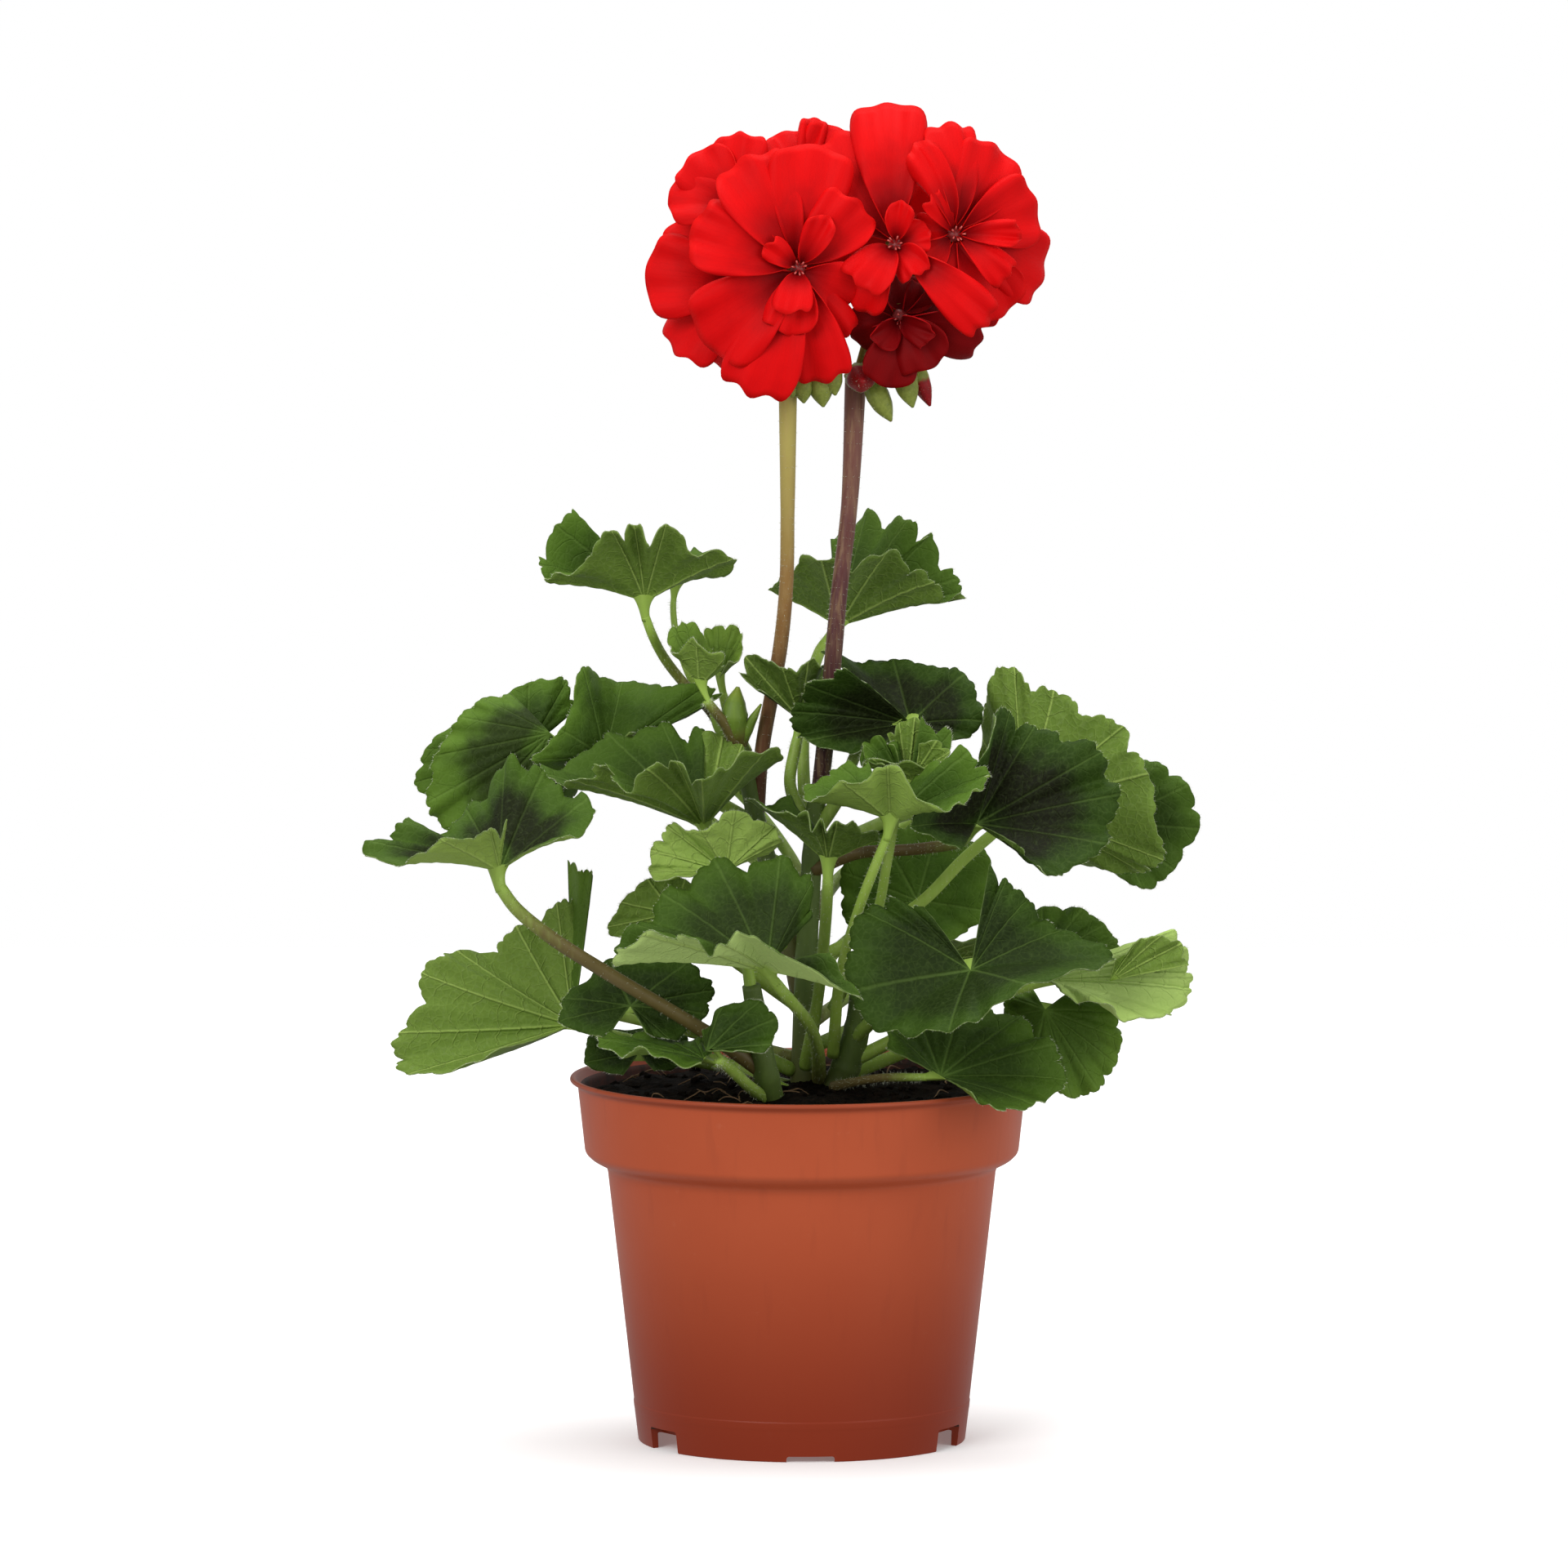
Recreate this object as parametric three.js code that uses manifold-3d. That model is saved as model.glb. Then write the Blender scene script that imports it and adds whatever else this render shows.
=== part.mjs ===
// A potted zonal geranium: a thin-walled plastic pot of soil, the stems of one plant, its leaves on
// their stalks and two heads of semi-double flowers. Millimetres, +Z up. The origin is the centre
// of the pot's foot, on the surface that it stands on, and -Y is the front.
import * as THREE from "three";
import { mergeVertices } from "three/addons/utils/BufferGeometryUtils.js";
import Module from "manifold-3d";

const wasm = await Module();
wasm.setup();

// Driving dimensions.
const POT_HEIGHT = 94.5;
const LIP_RADIUS = 60;
const BAND_TOP_RADIUS = 57.9;
const BAND_FOOT_RADIUS = 56;
const BAND_FOOT_HEIGHT = 75;
const BODY_TOP_RADIUS = 50.3;
const BODY_FOOT_RADIUS = 43.4;
const FOOT_RADIUS = 42.3;
const FOOT_STEP = 8.6;
const LIP_DEPTH = 2.2;
const LEDGE_DROP = 3.6;
const WALL = 1.2;
const FLOOR_HEIGHT = 4;
const HUB_RADIUS = 11;
const SHALLOW_NOTCH = { width: 12.4, height: 2, depth: 8 };
const TALL_NOTCH = { width: 12, height: 6.2, depth: 12 };
const FIRST_NOTCH = 3;
const SOIL_HEIGHT = 90.5;
const SOIL_MOUND = 3;
const LUMP_HEIGHT = 1.1;
const BLADE_THICKNESS = 0.7;
const PETAL_THICKNESS = 0.65;
const STALK_RADIUS = 1.55;
const GAP = 0.3;

const DEG = Math.PI / 180;
const UP = new THREE.Vector3(0, 0, 1);

// Materials, one for each kind of surface.
const finish = (color, roughness) => new THREE.MeshStandardMaterial({ color, roughness });
const MATERIALS = {
  pot: finish("#b9603f", 0.45),
  soil: finish("#241a14", 0.95),
  stem: finish("#6d7a3c", 0.6),
  leaf: finish("#3f6b2c", 0.65),
  youngLeaf: finish("#5b9436", 0.6),
  flowerStalk: finish("#8a7a48", 0.6),
  petal: finish("#d31210", 0.5),
};

// A closed geometry as a solid, and a solid as a geometry.
function solidOf(geometry) {
  const bare = geometry.clone();
  bare.deleteAttribute("normal");
  bare.deleteAttribute("uv");
  const merged = mergeVertices(bare, 1e-4);
  return new wasm.Manifold(
    new wasm.Mesh({
      numProp: 3,
      vertProperties: merged.attributes.position.array,
      triVerts: new Uint32Array(merged.index.array),
    }),
  );
}

function geometryOf(solid) {
  const made = solid.getMesh();
  const geometry = new THREE.BufferGeometry();
  const places = new Float32Array(made.vertProperties);
  geometry.setAttribute("position", new THREE.BufferAttribute(places, 3));
  geometry.setIndex(new THREE.BufferAttribute(new Uint32Array(made.triVerts), 1));
  geometry.computeVertexNormals();
  return geometry;
}

function geometryFrom(points, triangles) {
  const geometry = new THREE.BufferGeometry().setFromPoints(points);
  geometry.setIndex(triangles);
  return geometry;
}

const union = (solids) => solids.reduce((all, solid) => all.add(solid));

// The largest body of a solid, without the scraps that a cut leaves.
function largest(solid) {
  const bodies = solid.decompose();
  return bodies.reduce((best, body) => (body.volume() > best.volume() ? body : best));
}

// The same draws in the same order each run.
function draws(seed) {
  let state = (seed * 7919 + 13) % 2147483647;
  return (low, high) => {
    state = (state * 16807) % 2147483647;
    return low + ((high - low) * state) / 2147483647;
  };
}

// A place from what is seen of it from the front, across and up, and from its depth behind the
// pot's axis. The photograph looks down a little, so what lies deeper is seen higher.
const VIEW_SLOPE = 0.104;
const seen = ([across, height, depth]) => new THREE.Vector3(across, depth, height - VIEW_SLOPE * depth);

// The way a face looks: around from the front towards +X, and up from level.
function facing([around, up]) {
  const level = Math.cos(up * DEG);
  return new THREE.Vector3(
    Math.sin(around * DEG) * level,
    -Math.cos(around * DEG) * level,
    Math.sin(up * DEG),
  );
}

// A round stalk through points, with a radius for each, closed at both ends. Swell makes it thicker
// and longer all round.
function stalkGeometry(points, radii, sides, steps, swell = 0) {
  const curve = new THREE.CatmullRomCurve3(points, false, "centripetal");
  const frames = curve.computeFrenetFrames(steps, false);
  const rings = [];
  for (let i = 0; i <= steps; i++) {
    const t = i / steps;
    const centre = curve.getPoint(t);
    if (i === 0) centre.addScaledVector(frames.tangents[0], -swell);
    if (i === steps) centre.addScaledVector(frames.tangents[steps], swell);
    const at = t * (radii.length - 1);
    const k = Math.min(Math.floor(at), radii.length - 2);
    const radius = THREE.MathUtils.lerp(radii[k], radii[k + 1], at - k) + swell;
    for (let j = 0; j < sides; j++) {
      const turn = (2 * Math.PI * j) / sides;
      const out = frames.normals[i].clone().multiplyScalar(radius * Math.cos(turn));
      out.addScaledVector(frames.binormals[i], radius * Math.sin(turn));
      rings.push(out.add(centre));
    }
  }
  const triangles = [];
  for (let i = 0; i < steps; i++) {
    for (let j = 0; j < sides; j++) {
      const a = i * sides + j;
      const b = i * sides + ((j + 1) % sides);
      triangles.push(a, b, b + sides, a, b + sides, a + sides);
    }
  }
  const last = steps * sides;
  for (let j = 1; j < sides - 1; j++) {
    triangles.push(0, j + 1, j, last, last + j, last + j + 1);
  }
  return geometryFrom(rings, triangles);
}

// A thin blade fanned out from one point. The surface gives a point for a turn from -1 to 1 and a
// distance out from 0 to 1. The rings hold how far out each lies and its number of segments, which
// is a multiple of that of the ring inside it. Both faces are split alike.
function bladeGeometry(surface, rings, thickness) {
  const step = 0.01;
  const points = [];
  const tangent = (turn, out) => {
    const along = surface(turn, out + step).sub(surface(turn, out - step));
    const around = surface(Math.min(turn + step, 1), out).sub(surface(Math.max(turn - step, -1), out));
    return along.cross(around).normalize();
  };
  const middle = surface(0, 0);
  const axis = surface.normal;
  for (const sign of [0.5, -0.5]) {
    points.push(middle.clone().addScaledVector(axis, sign * thickness));
    for (const [out, segments] of rings) {
      for (let j = 0; j <= segments; j++) {
        const turn = -1 + (2 * j) / segments;
        points.push(surface(turn, out).addScaledVector(tangent(turn, out), sign * thickness));
      }
    }
  }
  const under = points.length / 2;
  const starts = [];
  let next = 1;
  for (const [, segments] of rings) {
    starts.push(next);
    next += segments + 1;
  }
  const face = [];
  for (let j = 0; j < rings[0][1]; j++) face.push([0, starts[0] + j, starts[0] + j + 1]);
  for (let k = 1; k < rings.length; k++) {
    const inner = starts[k - 1];
    const outer = starts[k];
    const split = rings[k][1] / rings[k - 1][1];
    for (let j = 0; j < rings[k - 1][1]; j++) {
      const a = inner + j;
      const p = outer + j * split;
      const half = Math.floor(split / 2);
      for (let i = 0; i < half; i++) face.push([a, p + i, p + i + 1]);
      face.push([a, p + half, a + 1]);
      for (let i = half; i < split; i++) face.push([a + 1, p + i, p + i + 1]);
    }
  }
  const triangles = [];
  for (const [a, b, c] of face) triangles.push(a, b, c, a + under, c + under, b + under);
  const outerStart = starts[rings.length - 1];
  const outerSegments = rings[rings.length - 1][1];
  const edge = [0, ...starts];
  for (let j = 0; j <= outerSegments; j++) if (j > 0) edge.push(outerStart + j);
  for (let k = rings.length - 2; k >= 0; k--) edge.push(starts[k] + rings[k][1]);
  for (let i = 0; i < edge.length; i++) {
    const a = edge[i];
    const b = edge[(i + 1) % edge.length];
    triangles.push(a, a + under, b + under, a, b + under, b);
  }
  return geometryFrom(points, triangles);
}

// The pot is turned from one closed profile, then cut for its feet and drain holes.
function potSolid() {
  const band = POT_HEIGHT - LIP_DEPTH;
  const ledge = BAND_FOOT_HEIGHT - LEDGE_DROP;
  const profile = [
    [0, 0],
    [HUB_RADIUS, 0],
    [HUB_RADIUS + 1, FLOOR_HEIGHT],
    [FOOT_RADIUS - WALL - 0.3, FLOOR_HEIGHT],
    [FOOT_RADIUS - WALL - 0.5, 0],
    [FOOT_RADIUS, 0],
    [BODY_FOOT_RADIUS, FOOT_STEP],
    [BODY_TOP_RADIUS, ledge],
    [BAND_FOOT_RADIUS - 1.6, BAND_FOOT_HEIGHT - 1.6],
    [BAND_FOOT_RADIUS, BAND_FOOT_HEIGHT],
    [BAND_TOP_RADIUS, band],
    [LIP_RADIUS, POT_HEIGHT - 0.9],
    [LIP_RADIUS - 0.3, POT_HEIGHT],
    [LIP_RADIUS - 1.5, POT_HEIGHT],
    [BAND_TOP_RADIUS - WALL, band - 0.4],
    [BAND_FOOT_RADIUS - WALL, BAND_FOOT_HEIGHT + 0.8],
    [BODY_TOP_RADIUS - WALL, ledge + 0.6],
    [BODY_FOOT_RADIUS - WALL - 0.6, FLOOR_HEIGHT + WALL],
    [0, FLOOR_HEIGHT + WALL],
  ];
  const turned = new THREE.LatheGeometry(profile.map(([r, z]) => new THREE.Vector2(r, z)), 28);
  turned.rotateX(Math.PI / 2);
  let pot = solidOf(turned);
  // Three tall notches and three shallow ones alternate round the foot, from a little right of the front.
  const cut = (around, { width, height, depth }) => {
    const notch = new THREE.BoxGeometry(width, depth, height);
    notch.translate(0, depth / 2 - FOOT_RADIUS - 3, height / 2 - 0.5);
    notch.rotateZ((around + FIRST_NOTCH) * DEG);
    return solidOf(notch);
  };
  for (const third of [0, 120, 240]) {
    pot = pot.subtract(cut(third, SHALLOW_NOTCH));
    pot = pot.subtract(cut(third + 60, TALL_NOTCH));
  }
  return pot;
}

// The soil fills the pot to under its lip, a little uneven, with its top a fan of low lumps.
function soilSolid() {
  const base = FLOOR_HEIGHT + WALL + GAP;
  const inside = WALL + GAP;
  const ledge = BAND_FOOT_HEIGHT - LEDGE_DROP;
  const profile = [
    [0, base],
    [BODY_FOOT_RADIUS - inside - 1, base],
    [BODY_TOP_RADIUS - inside - 0.2, ledge + 1.4],
    [BAND_FOOT_RADIUS - inside, BAND_FOOT_HEIGHT + 1.8],
    [BAND_FOOT_RADIUS - inside + 0.9, SOIL_HEIGHT - 1],
    [40, SOIL_HEIGHT],
    [20, SOIL_HEIGHT + SOIL_MOUND * 0.7],
    [0, SOIL_HEIGHT + SOIL_MOUND],
  ];
  const sides = 16;
  const turned = new THREE.LatheGeometry(profile.map(([r, z]) => new THREE.Vector2(r, z)), sides);
  turned.rotateX(Math.PI / 2);
  const place = turned.attributes.position;
  for (let i = 0; i < place.count; i++) {
    const x = place.getX(i);
    const y = place.getY(i);
    const r = Math.hypot(x, y);
    if (place.getZ(i) > SOIL_HEIGHT - 0.5 && r > 1) {
      const lump = Math.sin(x * 0.23 + 1) * Math.cos(y * 0.19 - 0.6);
      place.setZ(i, place.getZ(i) + LUMP_HEIGHT * lump);
    }
  }
  return solidOf(turned);
}

// The stems of the plant, each a line of points with its radii, all grown together low down.
const STEMS = [
  {
    points: [[0, 52, 2], [0.5, 88, 1], [1, 120, 0], [2.5, 148, 0], [4, 170, -1]],
    radii: [3.2, 3.6, 2.9, 2.6, 2.4],
  },
  { points: [[1, 108, 1], [-4, 132.5, 5], [-11, 158.5, 7], [-16, 180.5, 6]], radii: [2.4, 2.6, 2.4, 2] },
  { points: [[0, 74, 1], [9, 91.5, -3], [14, 105.5, -6], [15, 121, -10]], radii: [3, 4, 3.4, 2.2] },
  { points: [[0, 70, 2], [-6, 82.5, -16], [-9, 95, -30], [-13, 118.5, -34]], radii: [2.6, 3.4, 3.2, 2.4] },
];

// The pointed bracts where a side stem ends.
const BRACTS = [
  { points: [[-16, 179.5, 6], [-17.5, 188, 3], [-16.5, 195.5, 3]], radii: [1.6, 3.5, 0.5] },
  { points: [[-16, 179.5, 6], [-20.5, 185, 5.5], [-23.5, 191.5, 6]], radii: [1.6, 2.5, 0.8] },
  { points: [[-16, 179.5, 6], [-14, 184.5, 3.5], [-10.5, 191, 2]], radii: [1.6, 1.7, 0.4] },
];

function stemSolid(swell = 0) {
  const stems = STEMS.map((s) => stalkGeometry(s.points.map(seen), s.radii, 6, 7, swell));
  const bracts = BRACTS.map((b) => stalkGeometry(b.points.map(seen), b.radii, 5, 4, swell));
  return union([...stems, ...bracts].map(solidOf));
}

// The leaves. Each is laid out as it is seen from the front: across from the pot's axis and up, in
// millimetres. At is where the stalk meets the blade, with its depth behind the axis. Tips holds
// the corner beside the notch, the tip of each lobe in turn and the other corner, counterclockwise
// on the upper side. What a tip lacks of the blade's reach is taken up in depth: its third number
// is the share of that depth that it leans away, or, below 0, towards the front. Stalk holds the
// points that the stalk passes from its root. Slim is its thickness beside the usual one.
const LEAVES = [
  {
    name: "leaf_top_left",
    slim: 0.85,
    at: [-40.4, 217.5, 0],
    reach: 29,
    frill: 0.14,
    tips: [[-48, 229, 0.8], [-57, 242, 0.8], [-67, 231, 0.2], [-64.5, 224.5, -0.4], [-51, 235, -1],
      [-41, 237, -1], [-29.5, 236.5, -0.8], [-17, 228.5, 0], [-28, 231, 0.8]],
    stalk: [[-15.5, 174, 6.5], [-19.5, 182, 9], [-23.5, 189, 11], [-30.5, 196.5, 13], [-35.5, 203, 9],
      [-38.6, 209, 3], [-40.4, 214, 1]],
  },
  {
    name: "leaf_top_left_rear",
    slim: 0.55,
    at: [-32.7, 222.5, 20],
    reach: 16,
    tips: [[-28, 226, -0.6], [-19.3, 225.5, 0], [-21, 229, 0.6], [-33, 230, 0.9], [-45, 229, 0.4],
      [-44, 227, -0.4], [-37, 227, -0.6]],
    stalk: [[-15, 168, 8.5], [-20, 184, 17], [-29, 198, 20], [-32.5, 209, 21], [-33.3, 216, 21]],
  },
  {
    name: "leaf_young_left",
    at: [-26.5, 195.5, -2],
    reach: 16.5,
    tips: [[-22.5, 205, 0.6], [-27.5, 212, 0.7], [-33.3, 211, 0.4], [-33.3, 204.5, -0.3],
      [-28, 207.5, -0.9], [-20.5, 203, -0.6], [-20.5, 200, -0.1]],
    young: true,
    slim: 0.85,
    stalk: [[-16.3, 179, 4.5], [-20, 186, 0], [-24, 191, -2]],
  },
  {
    name: "leaf_young_left_rear",
    at: [-21.5, 197.5, 13],
    reach: 13.5,
    tips: [[-19, 202, -0.6], [-16.5, 202.5, -0.4], [-15.2, 207.5, 0.1], [-17, 211.3, 0.8],
      [-21.5, 211.3, 1], [-25, 210.5, 0.5], [-24.5, 205, 0]],
    young: true,
    slim: 0.85,
    stalk: [[-14.3, 178.5, 8.8], [-19, 189, 14]],
  },
  {
    name: "leaf_top_right",
    at: [9.5, 211.5, 34],
    reach: 33,
    tips: [[-8.5, 221, 0.3], [-1, 229.5, -0.4], [12, 229, -0.8], [26, 229.5, -0.7], [36, 222, -0.4],
      [42.5, 220, 0.2], [36, 231, 0.6], [28.5, 239.5, 0.7], [18, 240.5, 0.8], [7.5, 235, 0.7]],
    stalk: [[2, 156, 3], [0.5, 172, 9], [1, 190, 17], [4.5, 204.5, 27]],
  },
  {
    name: "leaf_centre_dark",
    at: [28, 186, -2],
    reach: 31,
    tips: [[17, 196, -0.5], [8.5, 200, -1], [-0.5, 193, -0.9], [-2.3, 183.5, -0.9], [10, 179, -0.6],
      [28, 180.5, -0.4], [44.5, 184, -0.4], [45.5, 194.5, -0.3], [36, 201.5, 0.3], [20, 202.5, 0.8],
      [5, 204.5, 0.9]],
    stalk: [[3, 157, -1], [10.5, 168.5, -3], [14, 178, -3], [20, 183.5, -3]],
  },
  {
    name: "leaf_centre_left",
    at: [0, 186.5, 2],
    reach: 20,
    tips: [[-9, 193.5, -0.3], [-15.8, 199, -0.2], [-11.5, 204.2, -0.2], [-4.5, 200.3, -0.9],
      [3, 202.5, -0.7], [7, 200, 0.2], [6, 193, 0.6]],
    stalk: [[1, 160, 0], [-3, 170, 0], [-1.8, 179, 1]],
  },
  {
    name: "leaf_right_dark",
    at: [44.8, 160, -18],
    reach: 36,
    tips: [[55, 154.5, -0.4], [64, 146.5, -0.8], [77.5, 154.5, -0.6], [81, 168.5, -0.3],
      [74, 181, -0.2], [58, 185.5, 0.5], [50.5, 190.5, 0.3], [46.5, 178, -0.3], [28, 161, -0.6],
      [41, 153.5, -0.6]],
    stalk: [[3, 148, -1], [14, 152.3, -4], [30, 153.5, -8], [41, 155.5, -13]],
  },
  {
    name: "leaf_right_rear",
    at: [57, 164, 8],
    reach: 38,
    tips: [[46, 160, 0.5], [46.5, 180, 0.5], [50, 200, 0.5], [63, 195.5, 0.2], [80, 187, 0],
      [89, 174, -0.1], [93.8, 153, 0], [86, 147, 0.3], [68, 151, 0.5]],
    stalk: [[2.5, 124, 0.5], [14, 130, 0], [30, 139, 0], [42, 151, 2], [50, 158, 4]],
  },
  {
    name: "leaf_right_far",
    at: [80, 160, 24],
    reach: 24,
    tips: [[74, 152, -0.3], [80, 147.5, -0.4], [90, 142.8, -0.2], [98, 150, 0], [103.5, 160.5, 0],
      [99.5, 171, 0], [91, 176.3, 0.3], [80, 177, 0.5], [72, 168, 0.5]],
    stalk: [[3, 152, 2], [30, 163, 22], [55, 163, 32], [72, 161, 33]],
  },
  {
    name: "leaf_young_centre",
    at: [22.5, 161, -36],
    reach: 25,
    tips: [[17, 175.5, 0.4], [7.5, 174, 0.4], [0.3, 167.5, 0], [10, 170, -0.9], [22, 175, -0.8],
      [35, 164, -0.9], [43.5, 168, -0.5], [48, 173, 0], [40, 178.7, 0.2], [29, 172, 0.5]],
    young: true,
    slim: 0.85,
    stalk: [[8, 100, -7], [10, 122, -21], [14.5, 138, -29], [19, 150, -34], [21.8, 157, -36]],
  },
  {
    name: "leaf_young_centre_top",
    at: [27, 170, -19],
    reach: 17,
    tips: [[24.5, 182, 0.3], [18, 180.5, 0], [15, 177, -0.3], [23, 177, -0.5], [34.5, 175, -0.5],
      [38.3, 183.3, -0.2], [30.5, 187, -0.2]],
    young: true,
    slim: 0.85,
    stalk: [[8, 112, -6], [19, 136, -16], [21.8, 150, -22], [24, 162, -21]],
  },
  {
    name: "leaf_mid_fold",
    at: [6.6, 150, -24],
    reach: 26,
    tips: [[-3, 165.8, 0.6], [-14, 167.3, 0], [-2, 163.5, -0.8], [5, 160, -0.8], [13, 160.5, -0.8],
      [20.5, 156.3, 0], [12, 160, 0.6]],
    stalk: [[1, 97, -1.5], [3, 108, -9], [4.5, 118, -14], [6, 134, -20], [6.6, 144, -24]],
  },
  {
    name: "leaf_light_small",
    at: [-19.5, 148, -24],
    reach: 20,
    tips: [[-28, 146.8, -0.5], [-38, 146, -0.2], [-38.7, 153, 0], [-33.5, 160, 0], [-26, 158, -0.6],
      [-18, 163.7, -0.5], [-8, 160, -0.3], [-5.3, 155, 0], [-11, 151.5, 0.5]],
    young: true,
    slim: 0.85,
    stalk: [[-13, 117, -33], [-15, 130, -30], [-17.5, 141, -26]],
  },
  {
    name: "leaf_left_cup",
    at: [-25, 159, -14],
    reach: 41,
    tips: [[-25, 183.5, 0.4], [-38, 186, 0.5], [-52, 181, 0.5], [-67, 173, 0], [-60, 172, -0.8],
      [-51, 176, -0.8], [-46, 171.5, -0.9], [-34.5, 178, -0.9], [-26, 172.5, -0.9], [-17, 177.5, -0.8],
      [-5, 179.5, -0.3], [-13, 177, 0.3]],
    stalk: [[-4, 128, 4], [-14, 140, -4], [-22, 152, -11]],
  },
  {
    name: "leaf_left_folded",
    at: [-51, 177, 4],
    reach: 34,
    tips: [[-45, 183, -0.1], [-33, 186.5, 0], [-20.5, 194, 0], [-32, 196.7, 0], [-47, 197, 0.6],
      [-56.7, 200.5, 0.2], [-61, 186, -0.2], [-69.5, 176.5, -0.4], [-60, 173.5, 0]],
    stalk: [[-12, 160, 8], [-30, 170, 12], [-42, 174, 9]],
  },
  {
    name: "leaf_left_disc",
    at: [-65, 183.5, 4],
    reach: 35,
    tips: [[-75, 193.8, 0.3], [-84, 191.8, 0.2], [-91, 184.5, 0.1], [-96, 173.5, 0],
      [-95.7, 161.5, 0], [-85, 156, 0], [-73, 154, 0.1], [-62, 160, 0.3], [-57, 172, 0.5]],
    stalk: [[-7, 150, 8], [-30, 162.5, 20], [-50, 173, 20], [-59, 179, 12]],
  },
  {
    name: "leaf_left_rear",
    at: [-71, 179, 18],
    reach: 30,
    tips: [[-58, 190, 0.2], [-62.5, 198.3, 0.3], [-74, 195.5, 0.3], [-86, 190, 0.1], [-97, 180, 0],
      [-100, 170, 0], [-93, 162, 0], [-80, 157, 0], [-68, 163, 0.1]],
    stalk: [[-6, 146, 8], [-28, 163, 30], [-50, 174, 32], [-63, 178, 26]],
  },
  {
    name: "leaf_left_low",
    slim: 1.15,
    at: [-77, 148, -42],
    reach: 34,
    tips: [[-66, 155.5, -0.5], [-53, 163, 0], [-62, 170, 0.6], [-73.5, 176.5, 0.8], [-84, 166, 0.7],
      [-94, 157.5, 0.5], [-102.5, 161, 0.3], [-112, 153, 0], [-97, 153.5, -0.8], [-83, 159, -0.8],
      [-74.5, 160, -0.7]],
    stalk: [[-9.5, 96, -29.5], [-20, 103.5, -34], [-31, 110.5, -38], [-50, 122, -43], [-64, 131, -45],
      [-73, 138.5, -44], [-77, 144, -43]],
  },
  {
    name: "leaf_low_left_light",
    at: [-59, 108, -8],
    reach: 47,
    tips: [[-76, 102, -0.5], [-93, 95.5, -0.3], [-106.5, 98.5, 0], [-100, 112.5, 0], [-95.5, 125.5, 0],
      [-82, 128, 0.3], [-70, 134.5, 0.4], [-60, 141, 0.4], [-54, 146.5, 0.3], [-60.5, 150, 0.9]],
    stalk: [[-3, 90, -4], [-20, 98, -10], [-44, 104, -12]],
  },
  {
    name: "leaf_low_left_dark",
    at: [-44, 113, -26],
    reach: 21,
    tips: [[-40, 106.5, -0.5], [-32, 105, -0.5], [-23.5, 112.5, -0.2], [-24, 121, 0],
      [-34, 125.5, 0.4], [-50, 124, 0.4], [-60.5, 116, 0.2], [-61.5, 108.5, -0.2], [-50, 105, -0.5]],
    stalk: [[-2.5, 96, -0.5], [-20, 104.5, -8], [-36, 109, -20]],
  },
  {
    name: "leaf_low_rim_left",
    slim: 0.75,
    at: [-25, 99.5, -40],
    reach: 27,
    tips: [[-22, 101.5, 0.3], [-30, 104.5, 0.5], [-42, 106, 0.6], [-51.5, 105.5, 0.2],
      [-50, 102.5, -0.3], [-38, 101, -0.8], [-26, 97.5, -0.6]],
    stalk: [[-9.5, 92, -25], [-16, 95, -31], [-21, 98, -36]],
  },
  {
    name: "leaf_low_small",
    at: [-24.3, 101.8, -48],
    reach: 19,
    tips: [[-18, 102, -0.4], [-9, 102.5, -0.3], [-6.3, 109.5, 0], [-11, 115, 0], [-19.5, 113.8, 0.2],
      [-24.3, 108, 0.5], [-25.5, 104.5, 0.4]],
    stalk: [[-8, 88, -22], [-14, 93, -38], [-20, 99, -46]],
  },
  {
    name: "leaf_front_centre",
    at: [-9, 122.5, -52],
    reach: 38,
    tips: [[2.5, 136, 0.3], [1.5, 149, 0.4], [-13, 151.5, 0.6], [-30, 147.5, 0.5], [-41, 136, 0.2],
      [-49.5, 125.5, 0], [-34, 134, -0.7], [-22, 128.5, -0.8], [-11, 133.5, -0.8], [14.5, 116, -0.5],
      [7, 128, -0.2]],
    stalk: [[4.5, 93.5, -3], [4, 102, -18], [1.5, 109, -34], [-4, 116, -46]],
  },
  {
    name: "leaf_grey_behind",
    at: [-33, 137, -16],
    reach: 17,
    tips: [[-38, 130, -0.4], [-49.5, 131.5, 0], [-47, 139, 0], [-40, 145.5, 0], [-31, 146, 0.4],
      [-24, 140, 0.5], [-28, 132, 0.5]],
    stalk: [[0, 112, 2], [-14, 122, -8], [-26, 131, -16]],
  },
  {
    name: "leaf_front_right",
    at: [43, 122.5, -44],
    reach: 36,
    tips: [[31, 139, 0.1], [20, 140.7, 0.3], [10.5, 129, 0.1], [17, 108.3, -0.4], [38, 107.3, -0.8],
      [56, 118, -0.8], [80, 126.5, -0.1], [65, 133.5, 0.3], [56, 143, 0.3], [48, 148.3, 0.2]],
    stalk: [[13, 104, -6], [24, 114, -22], [36, 119, -38]],
  },
  {
    name: "leaf_right_low",
    at: [63, 119.5, -22],
    reach: 36,
    tips: [[66, 116.8, -0.5], [77, 115, -0.6], [87, 110, -0.4], [98, 114.5, -0.1], [100, 121, 0],
      [97.5, 129, 0.1], [91, 132, 0.3], [81, 126, 0.5], [64, 123.5, 0.4]],
    stalk: [[12, 98, -4], [36, 110, -12], [54, 117, -18]],
  },
  {
    name: "leaf_right_mid",
    at: [62, 124, 18],
    reach: 20,
    tips: [[68, 121, -0.3], [82, 126, 0], [79.5, 132.5, 0], [73, 137.5, 0.2], [63, 138, 0.4],
      [53, 134, 0.5], [52, 124, 0.5]],
    stalk: [[3, 102, 2.5], [16, 108, 9], [34, 116, 16], [54, 121, 22]],
  },
  {
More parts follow.
